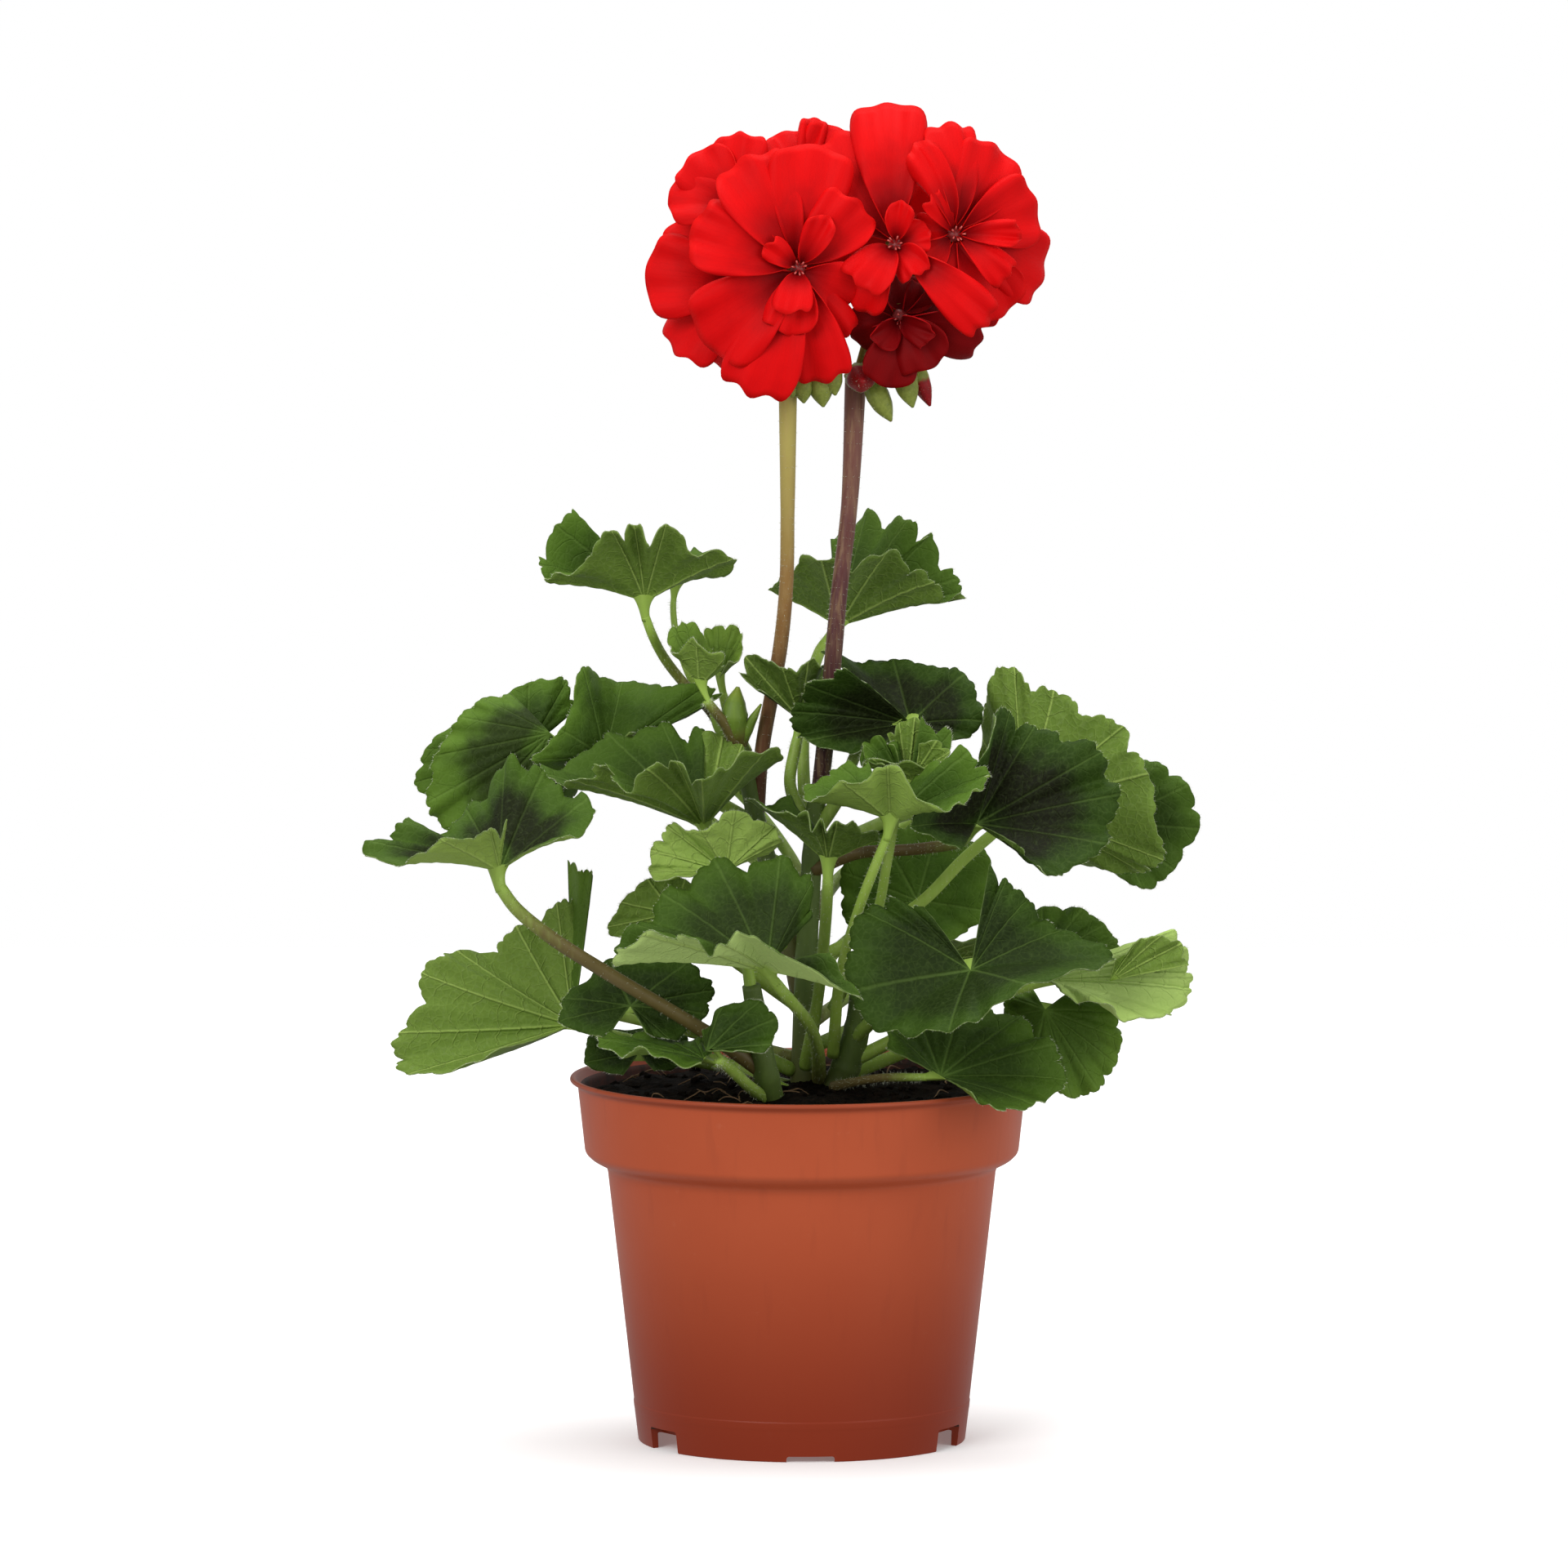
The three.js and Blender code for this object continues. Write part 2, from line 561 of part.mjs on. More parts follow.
    name: "leaf_low_right",
    slim: 0.75,
    at: [35.5, 95, -38],
    reach: 34,
    tips: [[42.5, 90.8, -0.5], [50, 87.5, -0.8], [59, 88.3, -0.6], [67, 93.5, -0.2], [64.5, 103, 0],
      [56, 110, 0.3], [44, 114, 0.5], [32, 113, 0.6], [23, 108, 0.5], [21.8, 101.5, 0.2]],
    stalk: [[8, 92, -14], [20, 94.5, -28]],
  },
  {
    name: "leaf_low_right_rear",
    at: [62.5, 112, -18],
    reach: 26,
    tips: [[59, 118, 0.3], [52, 114.5, 0.3], [53.5, 107, 0.2], [59.5, 99, -0.2], [67, 90, -0.3],
      [75, 90.5, -0.2], [80.5, 97.5, 0], [82.2, 105, 0], [79.5, 112.5, 0.2], [71, 118, 0.4]],
    stalk: [[10, 94, 2], [36, 104, 4], [54, 109, -6]],
  },
  {
    name: "leaf_back_light",
    at: [30, 140, 12],
    reach: 24,
    tips: [[36, 128, -0.2], [48, 136, 0], [48.7, 151, 0], [38, 158, 0.3], [24, 159.5, 0.3],
      [12, 152, 0.2], [10, 140, 0], [14, 130, 0], [24, 126, -0.2]],
    stalk: [[2, 118, 4], [10, 128, 14], [22, 137, 18]],
  },
  {
    name: "leaf_low_left_shade",
    slim: 0.75,
    at: [-42, 100.5, -6],
    reach: 14,
    tips: [[-38, 95.5, -0.3], [-31, 98, 0], [-30, 105, 0.3], [-41, 107, 0.4], [-54, 105.5, 0.1],
      [-55.5, 97.5, 0], [-46, 95, -0.4]],
    stalk: [[-3, 92, 4], [-18, 96, 2], [-34, 99, -2]],
  },
  {
    name: "leaf_back_upper_left",
    at: [-28, 177, 40],
    reach: 22,
    tips: [[-23, 181, -0.7], [-14, 180, -0.4], [-13, 174, 0.6], [-18, 168, 0.9], [-28, 165, 1],
      [-39, 167, 0.9], [-47, 173, 0.5], [-46, 180, -0.2], [-35, 182, -0.7]],
    stalk: [[2, 141, 2], [-4, 153, 15], [-16, 168, 30]],
  },
  {
    name: "leaf_back_upper_right",
    at: [60, 171, 42],
    reach: 21,
    tips: [[64, 177, -0.6], [75, 177, -0.4], [81, 171, 0.1], [77, 163, 0.7], [66, 158, 1],
      [54, 159, 0.9], [48, 166, 0.5], [48, 175, -0.3], [56, 178, -0.6]],
    stalk: [[3, 136, 3], [10, 146, 22], [28, 160, 34], [46, 168, 39]],
  },
  {
    name: "leaf_back_low_right",
    at: [34, 124, 42],
    reach: 24,
    tips: [[38, 130, -0.6], [50, 130, -0.4], [57, 124, 0.2], [53, 115, 0.8], [40, 110.5, 1],
      [26, 112, 0.9], [14.5, 119, 0.4], [16, 129, -0.3], [28, 131, -0.6]],
    stalk: [[2, 108, 4], [14, 116, 22], [26, 121, 36]],
  },
  {
    name: "leaf_back_middle",
    at: [-16, 139, 34],
    reach: 17,
    tips: [[-12, 143, -0.6], [-3, 141, 0], [-3, 134, 0.7], [-15, 130, 1], [-28, 133, 0.8],
      [-31, 141, 0.2], [-21, 144, -0.6]],
    stalk: [[-3, 124, 6], [-9, 131, 18], [-14, 136, 28]],
  },
  {
    name: "leaf_back_low_left",
    at: [-76, 114, 24],
    reach: 19,
    tips: [[-71, 118, -0.6], [-62, 116, -0.1], [-62, 109, 0.6], [-74, 105, 1], [-88, 107, 0.8],
      [-93, 115, 0.2], [-81, 119, -0.6]],
    stalk: [[-1.5, 99, 3.5], [-30, 106, 14], [-58, 112, 24]],
  },
];

const LOBE_DEPTH = 0.03;
const FRILL = 0.05;
const BOW = 0.1;
const RUFFLE = 0.035;

// A blade fans out from its stalk to a smooth line through its lobe tips, drawn in between them.
// It bows a little, and towards its edge it sinks between the lobes by its frill and ruffles.
// Turn runs from -1 to 1 round the leaf, and out from 0 at the stalk to 1 at the edge.
function leafSurface(leaf, seed) {
  const at = seen(leaf.at);
  const rim = leaf.tips.map(([x, height, lean]) => {
    const across = x - leaf.at[0];
    const up = height - leaf.at[1];
    const depth = lean * Math.sqrt(Math.max(leaf.reach ** 2 - across ** 2 - up ** 2, 0));
    return new THREE.Vector3(across, depth, up - VIEW_SLOPE * depth);
  });
  const normal = new THREE.Vector3();
  for (let k = 1; k < rim.length; k++) normal.add(rim[k - 1].clone().cross(rim[k]));
  normal.normalize();
  const edge = new THREE.CatmullRomCurve3(rim, false, "catmullrom", 0.5);
  const spans = rim.length - 1;
  const draw = draws(seed);
  const ruffles = rim.concat(rim).map(() => draw(-1, 1));
  const surface = (turn, out) => {
    const along = THREE.MathUtils.clamp((turn + 1) / 2, 0, 1);
    const lobe = Math.cos(2 * Math.PI * spans * along);
    const half = 2 * spans * along;
    const k = Math.min(Math.floor(half), 2 * spans - 1);
    const ruffle = THREE.MathUtils.lerp(ruffles[k], ruffles[k + 1], half - k);
    const frill = ((leaf.frill ?? FRILL) * (lobe - 1)) / 2;
    const rise = BOW * out * (1 - out) + (frill + RUFFLE * ruffle) * out * out;
    return edge
      .getPoint(along)
      .multiplyScalar(out * (1 - LOBE_DEPTH * (1 - lobe)))
      .addScaledVector(normal, leaf.reach * rise)
      .add(at);
  };
  surface.normal = normal;
  surface.spans = spans;
  return surface;
}

function leafSolid(leaf, seed) {
  const surface = leafSurface(leaf, seed);
  const rings = [[0.52, surface.spans], [1, 3 * surface.spans]];
  const blade = solidOf(bladeGeometry(surface, rings, BLADE_THICKNESS));
  const points = [...leaf.stalk, leaf.at].map(seen);
  const radius = STALK_RADIUS * (leaf.slim ?? 1);
  const radii = [radius * 1.25, radius, radius, radius * 1.3];
  return blade.add(solidOf(stalkGeometry(points, radii, 5, points.length))).simplify(0.25);
}

// The two flower heads. Each floret is laid out as it is seen from the front: its heart, the way
// that it faces, and its petals with their tips and widths. Each bud has its neck, its tip and its radius.
// Stalk holds the points that the head's stalk passes, the last of them where the florets part.
const HEADS = [
  {
    name: "left",
    stalk: [[-11.5, 162.7, 7], [-10.3, 178.8, 8], [-5.6, 205.5, 5], [-4, 222.1, 1], [-3.7, 239.8, -2],
      [-3.6, 272.5, -5]],
    radius: 1.9,
    florets: [
      {
        name: "front",
        at: [-1, 303, -13],
        face: [5, 5],
        petals: [[-25, 284, -15, 28], [-11, 270.5, -17, 26], [-28, 313, -18, 22], [-15, 331, -14, 25],
          [3, 334.5, -12, 26], [14.5, 320, -14, 21], [13, 295, -9, 22], [6, 274, -13, 17],
          [-4, 286, -20, 17]],
      },
      {
        name: "side",
        at: [-16, 300, 1],
        face: [-30, 5],
        petals: [[-40, 302, 0, 29], [-32, 281.5, 1, 25], [-34, 314, 6, 20], [-20, 277.5, 6, 18]],
      },
      {
        name: "upper",
        at: [-16, 318, 4],
        face: [-25, 30],
        petals: [[-34, 322.5, 2, 22], [-28, 333, 6, 21], [-16, 338.5, 7, 19]],
      },
      {
        name: "top",
        at: [0, 322, 9],
        face: [5, 45],
        petals: [[-5, 339, 12, 17], [3.5, 342.5, 11, 8], [10, 339.5, 8, 18], [13, 328, 15, 16],
          [-8, 330, 24, 20]],
      },
      {
        name: "rear",
        at: [-12, 300, 16],
        face: [-170, 5],
        petals: [[-31, 306, 26, 21], [-19, 324, 28, 21], [2, 316, 28, 21], [1, 291, 26, 21],
          [-18, 279, 24, 21]],
      },
    ],
    buds: [
      [[0, 277, -6], [0.5, 268.5, -9], 3],
      [[4.5, 277, -6], [5.5, 267.5, -8], 3.3],
    ],
  },
  {
    name: "right",
    stalk: [[4.7, 168.9, -1], [6.1, 181.7, -3], [8.2, 204.6, -4], [9.6, 219.8, -2], [12.2, 242.2, 2],
      [13.9, 276, 6]],
    radius: 2.25,
    florets: [
      {
        name: "front",
        at: [39, 312, -2],
        face: [20, 10],
        petals: [[37.5, 340.5, 1, 17], [29, 335, -8, 11], [50, 335, 4, 24], [60.5, 320, 4, 24],
          [62.5, 302, 8, 24], [52, 291.5, 0, 21], [40, 295.5, -1, 17], [28, 303, -6, 14]],
      },
      {
        name: "middle",
        at: [24, 309, -7],
        face: [-5, 15],
        petals: [[14, 298.5, -17, 17], [22, 346, 4, 22], [9, 338, 2, 20], [13, 322, 3, 17],
          [47.5, 289, -11, 14]],
      },
      {
        name: "low",
        at: [25, 291, -3],
        face: [10, -15],
        petals: [[13, 286, -1, 20], [15.5, 295, 1, 16], [21, 273, -9, 18], [33, 277.5, -9, 22],
          [46, 285.5, -2, 18], [38, 296, 5, 18], [23, 301.5, 3, 20]],
      },
      {
        name: "rear",
        at: [42, 306, 20],
        face: [150, 10],
        petals: [[59, 309, 28, 26], [50, 330, 30, 26], [32, 328, 32, 25], [27, 308, 31, 25],
          [44, 289, 26, 27]],
      },
      {
        name: "back",
        at: [26, 316, 20],
        face: [195, 40],
        petals: [[14, 317, 28, 22], [22, 336, 22, 20], [17, 301, 28, 20]],
      },
    ],
    buds: [
      [[17.5, 275, 2], [23, 264, -1], 3],
      [[25.5, 279, 0], [28.5, 267.5, -3], 3.2],
      [[28.5, 280, 3], [33, 268, 2], 2.6],
      [[14.5, 280, -3], [15.6, 269.5, -4], 3.9],
    ],
  },
];

// How a floret is shaped: its heart, the bare claw at a petal's foot, how broad the petal's shoulders
// are and how round its tip, how it tilts across, the wave of its edge, and the least and most of
// its bulge, its cup and its ripple.
const HEART_RADIUS = 2.2;
const CLAW = 1.4;
const SHOULDER = 0.5;
const TIP_ROUNDING = 0.2;
const TILT = 0.12;
const TIP_WAVE = 0.02;
const BULGE = [0.08, 0.19];
const CUP = [0.5, 2.4];
const RIPPLE = [0.7, 1.7];

// One petal, fanned out from the heart of its floret to its tip. It bulges along its length, is
// cupped and tilted across it so that it lies half over its neighbour, and is ruffled at its edge.
function petalSurface(floret, petal, draw) {
  const [across, height, depth, width] = petal;
  const heart = seen(floret.at);
  const reach = seen([across, height, depth]).sub(heart);
  const length = reach.length() - CLAW;
  const tip = reach.normalize();
  const side = facing(floret.face).cross(tip).normalize();
  const normal = tip.clone().cross(side);
  const spread = Math.atan(width / 2 / (0.8 * length));
  const bulge = draw(...BULGE) * length;
  const cup = draw(...CUP);
  const ruffle = draw(...RIPPLE);
  const waves = draw(3, 5);
  const phase = draw(0, 6);
  const surface = (turn, out) => {
    const angle = turn * spread * (1 + SHOULDER * (1 - out));
    const edge = 1 - TIP_ROUNDING * turn ** 4 + TIP_WAVE * Math.cos(3 * Math.PI * turn);
    const distance = length * out * edge;
    const tilt = TILT * distance * Math.sin(angle);
    const lift = 4 * bulge * out * (1 - out) + cup * out * turn * turn + tilt
      + ruffle * out * out * Math.sin(waves * turn + phase);
    return heart
      .clone()
      .addScaledVector(tip, CLAW + distance * Math.cos(angle))
      .addScaledVector(side, distance * Math.sin(angle))
      .addScaledVector(normal, lift);
  };
  surface.normal = normal;
  return surface;
}

function floretSolid(floret, seed) {
  const draw = draws(seed);
  const petals = floret.petals.map((petal) => {
    const rings = petal[3] > 12 ? [[0.6, 2], [1, 4]] : [[0.6, 1], [1, 3]];
    return solidOf(bladeGeometry(petalSurface(floret, petal, draw), rings, PETAL_THICKNESS));
  });
  const heart = new THREE.SphereGeometry(HEART_RADIUS, 5, 2).translate(...seen(floret.at));
  return union([solidOf(heart), ...petals]).simplify(0.5);
}

const CALYX_BACK = 1.9;
const CALYX_LENGTH = 7;

// What is green: the head's stalk, the floret stalks with their calyces, and the hanging buds.
function headStalkSolid(head, swell = 0) {
  const r = head.radius;
  const stalk = head.stalk.map(seen);
  const root = stalk[stalk.length - 1];
  const tube = (points, radii, sides, steps) =>
    solidOf(stalkGeometry(points, radii, sides, steps, swell));
  const knob = new THREE.SphereGeometry(r * 1.5 + swell, 6, 3).translate(...root);
  const made = [tube(stalk, [r, r, r, r * 0.95, r * 0.95, r * 1.25], 6, 9), solidOf(knob)];
  for (const floret of head.florets) {
    const normal = facing(floret.face);
    const back = seen(floret.at).addScaledVector(normal, -CALYX_BACK);
    const calyx = back.clone().addScaledVector(normal, -CALYX_LENGTH);
    const bend = root.clone().lerp(calyx, 0.5).addScaledVector(UP, 3);
    made.push(tube([root, bend, calyx, back], [0.9, 0.8, 0.8, 0.9, 3], 4, 4));
  }
  for (const bud of head.buds) {
    const [neck, tip] = bud.slice(0, 2).map(seen);
    const wide = bud[2];
    const bend = root.clone().lerp(neck, 0.5).addScaledVector(UP, 2);
    made.push(tube([root, bend, neck, tip], [0.8, 0.8, 0.8, 0.9, wide, wide * 0.9, 0.4], 5, 6));
  }
  return union(made);
}

// Assembly. What meets keeps a small gap: the leaves and flower stalks at the stems, the petals
// round their calyces, and the soil round whatever stands in it.
const plant = new THREE.Group();
plant.name = "potted_geranium";

function place(name, solid, material) {
  const mesh = new THREE.Mesh(geometryOf(solid), material);
  mesh.name = name;
  plant.add(mesh);
}

const stems = stemSolid().simplify(0.1);
const stemsRoom = stemSolid(GAP);
const leaves = LEAVES.map((leaf, k) => ({
  leaf,
  solid: largest(leafSolid(leaf, k + 1).subtract(stemsRoom)),
}));
const headStalks = HEADS.map((head) =>
  largest(headStalkSolid(head).subtract(stemsRoom)).simplify(0.25),
);
const stalksRoom = HEADS.map((head) => headStalkSolid(head, GAP));
const florets = HEADS.flatMap((head, k) =>
  head.florets.map((floret, f) => {
    const whole = floretSolid(floret, 11 + 20 * k + f);
    return {
      name: `floret_${head.name}_${floret.name}`,
      solid: largest(stalksRoom.reduce((cut, room) => cut.subtract(room), whole)),
    };
  }),
);

let soil = soilSolid().subtract(stemsRoom);
const ROOT_ZONE = 8;
const inSoil = (leaf) => leaf.stalk[0][1] < SOIL_HEIGHT + ROOT_ZONE;
for (const { leaf } of leaves.filter((l) => inSoil(l.leaf))) {
  const points = leaf.stalk.map(seen);
  const room = stalkGeometry(points, [STALK_RADIUS * 1.25 + 1, STALK_RADIUS + 1], 4, 2);
  soil = soil.subtract(solidOf(room));
}

place("pot", potSolid(), MATERIALS.pot);
place("soil", largest(soil).simplify(0.15), MATERIALS.soil);
place("stems", stems, MATERIALS.stem);
for (const { leaf, solid } of leaves) {
  place(leaf.name, solid, leaf.young ? MATERIALS.youngLeaf : MATERIALS.leaf);
}
HEADS.forEach((head, k) => place(`flower_stalk_${head.name}`, headStalks[k], MATERIALS.flowerStalk));
for (const { name, solid } of florets) place(name, solid, MATERIALS.petal);

export default plant;
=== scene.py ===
"""A potted zonal geranium: its pot and soil, the stems, the leaves on their stalks and two heads of red
flowers. Places are given in millimetres as they are seen from the front, as in the part's own source."""
import math

import bpy
import numpy as np
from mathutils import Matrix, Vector, noise


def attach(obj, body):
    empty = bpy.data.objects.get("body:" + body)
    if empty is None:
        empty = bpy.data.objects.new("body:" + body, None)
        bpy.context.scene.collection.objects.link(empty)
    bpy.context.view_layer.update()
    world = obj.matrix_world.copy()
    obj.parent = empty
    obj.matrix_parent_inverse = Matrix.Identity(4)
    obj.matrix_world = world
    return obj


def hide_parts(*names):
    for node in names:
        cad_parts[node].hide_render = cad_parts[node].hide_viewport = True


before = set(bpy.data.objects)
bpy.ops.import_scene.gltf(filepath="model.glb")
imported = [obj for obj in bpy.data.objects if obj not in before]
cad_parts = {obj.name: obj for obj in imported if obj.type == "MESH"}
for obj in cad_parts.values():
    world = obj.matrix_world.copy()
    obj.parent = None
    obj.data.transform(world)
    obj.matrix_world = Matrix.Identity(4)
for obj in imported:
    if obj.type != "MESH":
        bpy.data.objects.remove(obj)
bpy.ops.object.select_all(action="DESELECT")
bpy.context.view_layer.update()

# Sizes in millimetres.
MM = 0.001
GAP = 0.3
WALL = 1.2
POT_HEIGHT = 94.5
LIP_RADIUS = 60
BAND_TOP_RADIUS = 57.9
BAND_FOOT_RADIUS = 56
BAND_FOOT_HEIGHT = 75
LEDGE_HEIGHT = BAND_FOOT_HEIGHT - 3.6
BODY_TOP_RADIUS = 50.3
BODY_FOOT_RADIUS = 43.4
FOOT_RADIUS = 42.3
FOOT_STEP = 8.6
FLOOR_HEIGHT = 4
HUB_RADIUS = 11
POT_SIDES = 144
SOIL_RADIUS = BAND_FOOT_RADIUS - WALL - GAP + 0.9
SOIL_HEIGHT = 90.5
SOIL_CROWN = 3
CRUMBS = 240
FIBRES = 36
SOIL_SIDES = 160
SOIL_RINGS = 44
BLADE_THICKNESS = 0.34
PETAL_THICKNESS = 0.3
STALK_RADIUS = 1.55
HAIR_WIDTH = 0.035
HEART_RADIUS = 1.9
STAMENS = 7

# How a leaf is shaped: in shares of its reach or of its length, and then in millimetres.
BOW = 0.1
FRILL = 0.05
RUFFLE = 0.035
CLEFT_DEPTH = 0.06
TOOTH_DEPTH = 0.034
TOOTH_ROUNDING = 0.55
TOOTH_LEVEL = 0.72
FUNNEL_SHARE = 0.1
TOOTH_WIDTH = 3.4
MARGIN_STEP = 0.72
CURL_LENGTH = 8.5
CURL = 1.2
VEIN_FOLD = 0.22
VEIN_WIDTH = 1.1
PUCKER = 0.35
QUILT = 0.2
FUNNEL = 4
FUNNEL_RADIUS = 3.4

# How a petal is shaped, in the same way. A pair holds the ends of what is drawn for each petal.
SHOULDER = 0.5
TIP_ROUNDING = 0.2
TIP_WAVE = 0.02
TILT = 0.12
BULGE = (0.08, 0.19)
CLAW = 1.4
CRINKLE = 0.6
RIB = 0.05
CUP = (0.5, 2.4)
RIPPLE = (0.7, 1.7)

# How many fine hairs each kind of stalk or margin has.
HAIRS = dict(stem=220, bract=90, stalk=260, rear_stalk=110, margin=420, rear_margin=90, flower_stalk=700,
             pedicel=60, bud=90)

# Where the draws of each kind of piece start.
STALK_SEED = 400
FOLD_SEED = 500
HEAD_SEED = 60
FLORET_SEEDS = (11, 31)


# Laying things out.
VIEW_SLOPE = 0.104


def seen(points):
    """Places from across, up and depth, as the front shows them: what lies deeper is seen higher."""
    points = np.asarray(points, float)
    across, height, depth = points[..., 0], points[..., 1], points[..., 2]
    return np.stack([across, depth, height - VIEW_SLOPE * depth], axis=-1)


def facing(around, up):
    """The way a face looks: around from the front, and up from level, in degrees."""
    around, up = math.radians(around), math.radians(up)
    level = math.cos(up)
    return np.array([math.sin(around) * level, -math.cos(around) * level, math.sin(up)])


def draws(seed):
    """The same draws in the same order each run."""
    limit = 2147483647
    state = (seed * 7919 + 13) % limit

    def draw(low, high):
        nonlocal state
        state = state * 16807 % limit
        return low + (high - low) * state / limit

    return draw


def curve(points, share, even=False):
    """Places along a smooth curve through the points, at the given shares of it. Even takes the points
    as evenly spaced, and otherwise they count by how far apart they are."""
    points = np.asarray(points, float)
    chain = np.vstack([2 * points[0] - points[1], points, 2 * points[-1] - points[-2]])
    place = np.clip(np.asarray(share, float), 0, 1) * (len(points) - 1)
    k = np.minimum(place.astype(int), len(points) - 2)
    w = (place - k)[:, None]
    before, start, end, after = (chain[k + i] for i in range(4))
    if even:
        leave = (end - before) / 2
        arrive = (after - start) / 2
    else:
        def gap(a, b):
            return np.sqrt(np.maximum(np.linalg.norm(b - a, axis=1), 1e-6))[:, None]

        g0, g1, g2 = gap(before, start), gap(start, end), gap(end, after)
        leave = ((start - before) / g0 - (end - before) / (g0 + g1) + (end - start) / g1) * g1
        arrive = ((end - start) / g1 - (after - start) / (g1 + g2) + (after - end) / g2) * g1
    keep = 2 * w**3 - 3 * w**2 + 1
    return keep * start + (w**3 - 2 * w**2 + w) * leave + (1 - keep) * end + (w**3 - w**2) * arrive


def smooth(w):
    """A soft step, for shares from 0 to 1."""
    return w * w * (3 - 2 * w)


def unit(v):
    """The same way, one long."""
    return v / np.linalg.norm(v, axis=-1, keepdims=True)


# Meshes.
def marked(mesh, marks):
    """Gives each point of a mesh the named numbers that its material reads."""
    for name, values in marks.items():
        layer = mesh.attributes.new(name, "FLOAT", "POINT")
        values = np.broadcast_to(np.asarray(values, float), (len(mesh.vertices),))
        layer.data.foreach_set("value", np.ascontiguousarray(values, dtype=np.float32))


def grid_piece(name, columns, rows, form, materials):
    """A grid of faces laid on a form. The form takes two arrays of shares, along and around, and gives
    the places in millimetres and the numbers that the material reads."""
    bpy.ops.mesh.primitive_grid_add(x_subdivisions=columns, y_subdivisions=rows, size=1)
    piece = bpy.context.object
    piece.name = piece.data.name = name
    mesh = piece.data
    flat = np.empty(len(mesh.vertices) * 3, dtype=np.float32)
    mesh.vertices.foreach_get("co", flat)
    flat = flat.reshape(-1, 3).astype(float)
    places, marks = form(np.clip(flat[:, 0] + 0.5, 0, 1), np.clip(flat[:, 1] + 0.5, 0, 1))
    mesh.vertices.foreach_set("co", (places * MM).astype(np.float32).ravel())
    marked(mesh, marks)
    for material in materials:
        mesh.materials.append(material)
    bpy.ops.object.mode_set(mode="EDIT")
    bpy.ops.mesh.select_all(action="SELECT")
    bpy.ops.mesh.remove_doubles(threshold=2e-6)
    bpy.ops.object.mode_set(mode="OBJECT")
    bpy.ops.object.shade_smooth()
    return piece


def thickened(piece, thickness):
    """Gives a sheet its thickness, with its underside and its rim in materials of their own."""
    skin = piece.modifiers.new("thickness", "SOLIDIFY")
    skin.thickness = thickness * MM
    skin.offset = 0
    skin.use_even_offset = False
    skin.material_offset = 1
    skin.material_offset_rim = 2
    bpy.ops.object.modifier_apply(modifier=skin.name)
    return piece


def tube_frames(centres):
    """A way round and a way across at each centre of a tube, without a twist."""
    ahead = unit(np.gradient(centres, axis=0))
    side = np.cross(ahead[0], [0.3, 0.9, 0.2])
    sides = []
    for way in ahead:
        side = side - way * side.dot(way)
        side = side / np.linalg.norm(side)
        sides.append(side)
    sides = np.array(sides)
    return ahead, sides, np.cross(ahead, sides)


def tube_piece(name, points, radii, sides, steps, material, shape=None, **marks):
    """A round stalk through the points, closed at both ends. Shape gives the radius a factor from the
    share along it and the angle around it."""
    shares = np.linspace(0, 1, steps + 1)
    centres = curve(points, shares)
    _, first, second = tube_frames(centres)
    size = np.interp(shares, np.linspace(0, 1, len(radii)), radii)

    def form(along, around):
        k = np.rint(along * (steps + 2)).astype(int) - 1
        capped = (k < 0) | (k > steps)
        k = np.clip(k, 0, steps)
        angle = -2 * math.pi * around
        radius = size[k] * (1 if shape is None else shape(shares[k], angle))
        radius = np.where(capped, 0, radius)
        out = first[k] * np.cos(angle)[:, None] + second[k] * np.sin(angle)[:, None]
        return centres[k] + out * radius[:, None], dict(marks, along=shares[k], round=np.cos(angle))

    return grid_piece(name, steps + 2, sides, form, [material])


def hair_piece(roots, ways, lengths, material):
    """Fine hairs, each a slim three-sided spike."""
    roots, ways = np.asarray(roots), unit(np.asarray(ways))
    side = unit(np.cross(ways, [0.31, 0.52, 0.79]))
    other = np.cross(ways, side)
    thirds = (0.0, 2.09, 4.19)
    corners = [roots + HAIR_WIDTH * (math.cos(a) * side + math.sin(a) * other) for a in thirds]
    tips = roots + ways * np.asarray(lengths)[:, None]
    places = np.stack([*corners, tips], axis=1).reshape(-1, 3) * MM
    faces = []
    for k in range(0, 4 * len(roots), 4):
        faces += [(k, k + 2, k + 1), (k, k + 1, k + 3), (k + 1, k + 2, k + 3), (k + 2, k, k + 3)]
    mesh = bpy.data.meshes.new("hairs")
    mesh.from_pydata(places.tolist(), [], faces)
    mesh.uv_layers.new(name="UVMap")
    mesh.materials.append(material)
    piece = bpy.data.objects.new("hairs", mesh)
    bpy.context.collection.objects.link(piece)
    return piece


def joined(pieces, name):
    """Makes one piece of several."""
    bpy.ops.object.select_all(action="DESELECT")
    for piece in pieces:
        piece.select_set(True)
    bpy.context.view_layer.objects.active = pieces[0]
    if len(pieces) > 1:
        bpy.ops.object.join()
    whole = bpy.context.object
    whole.name = whole.data.name = name
    whole.select_set(False)
    return whole


def kept(piece, node):
    """Hands a finished piece to the frame, in place of its node."""
    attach(piece, "root")
    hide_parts(node)


# Materials.
def colour(red, green, blue):
    """A colour from its 0 to 255 screen values."""
    def plain(v):
        v = v / 255
        return v / 12.92 if v <= 0.04045 else ((v + 0.055) / 1.055) ** 2.4

    return (plain(red), plain(green), plain(blue), 1)


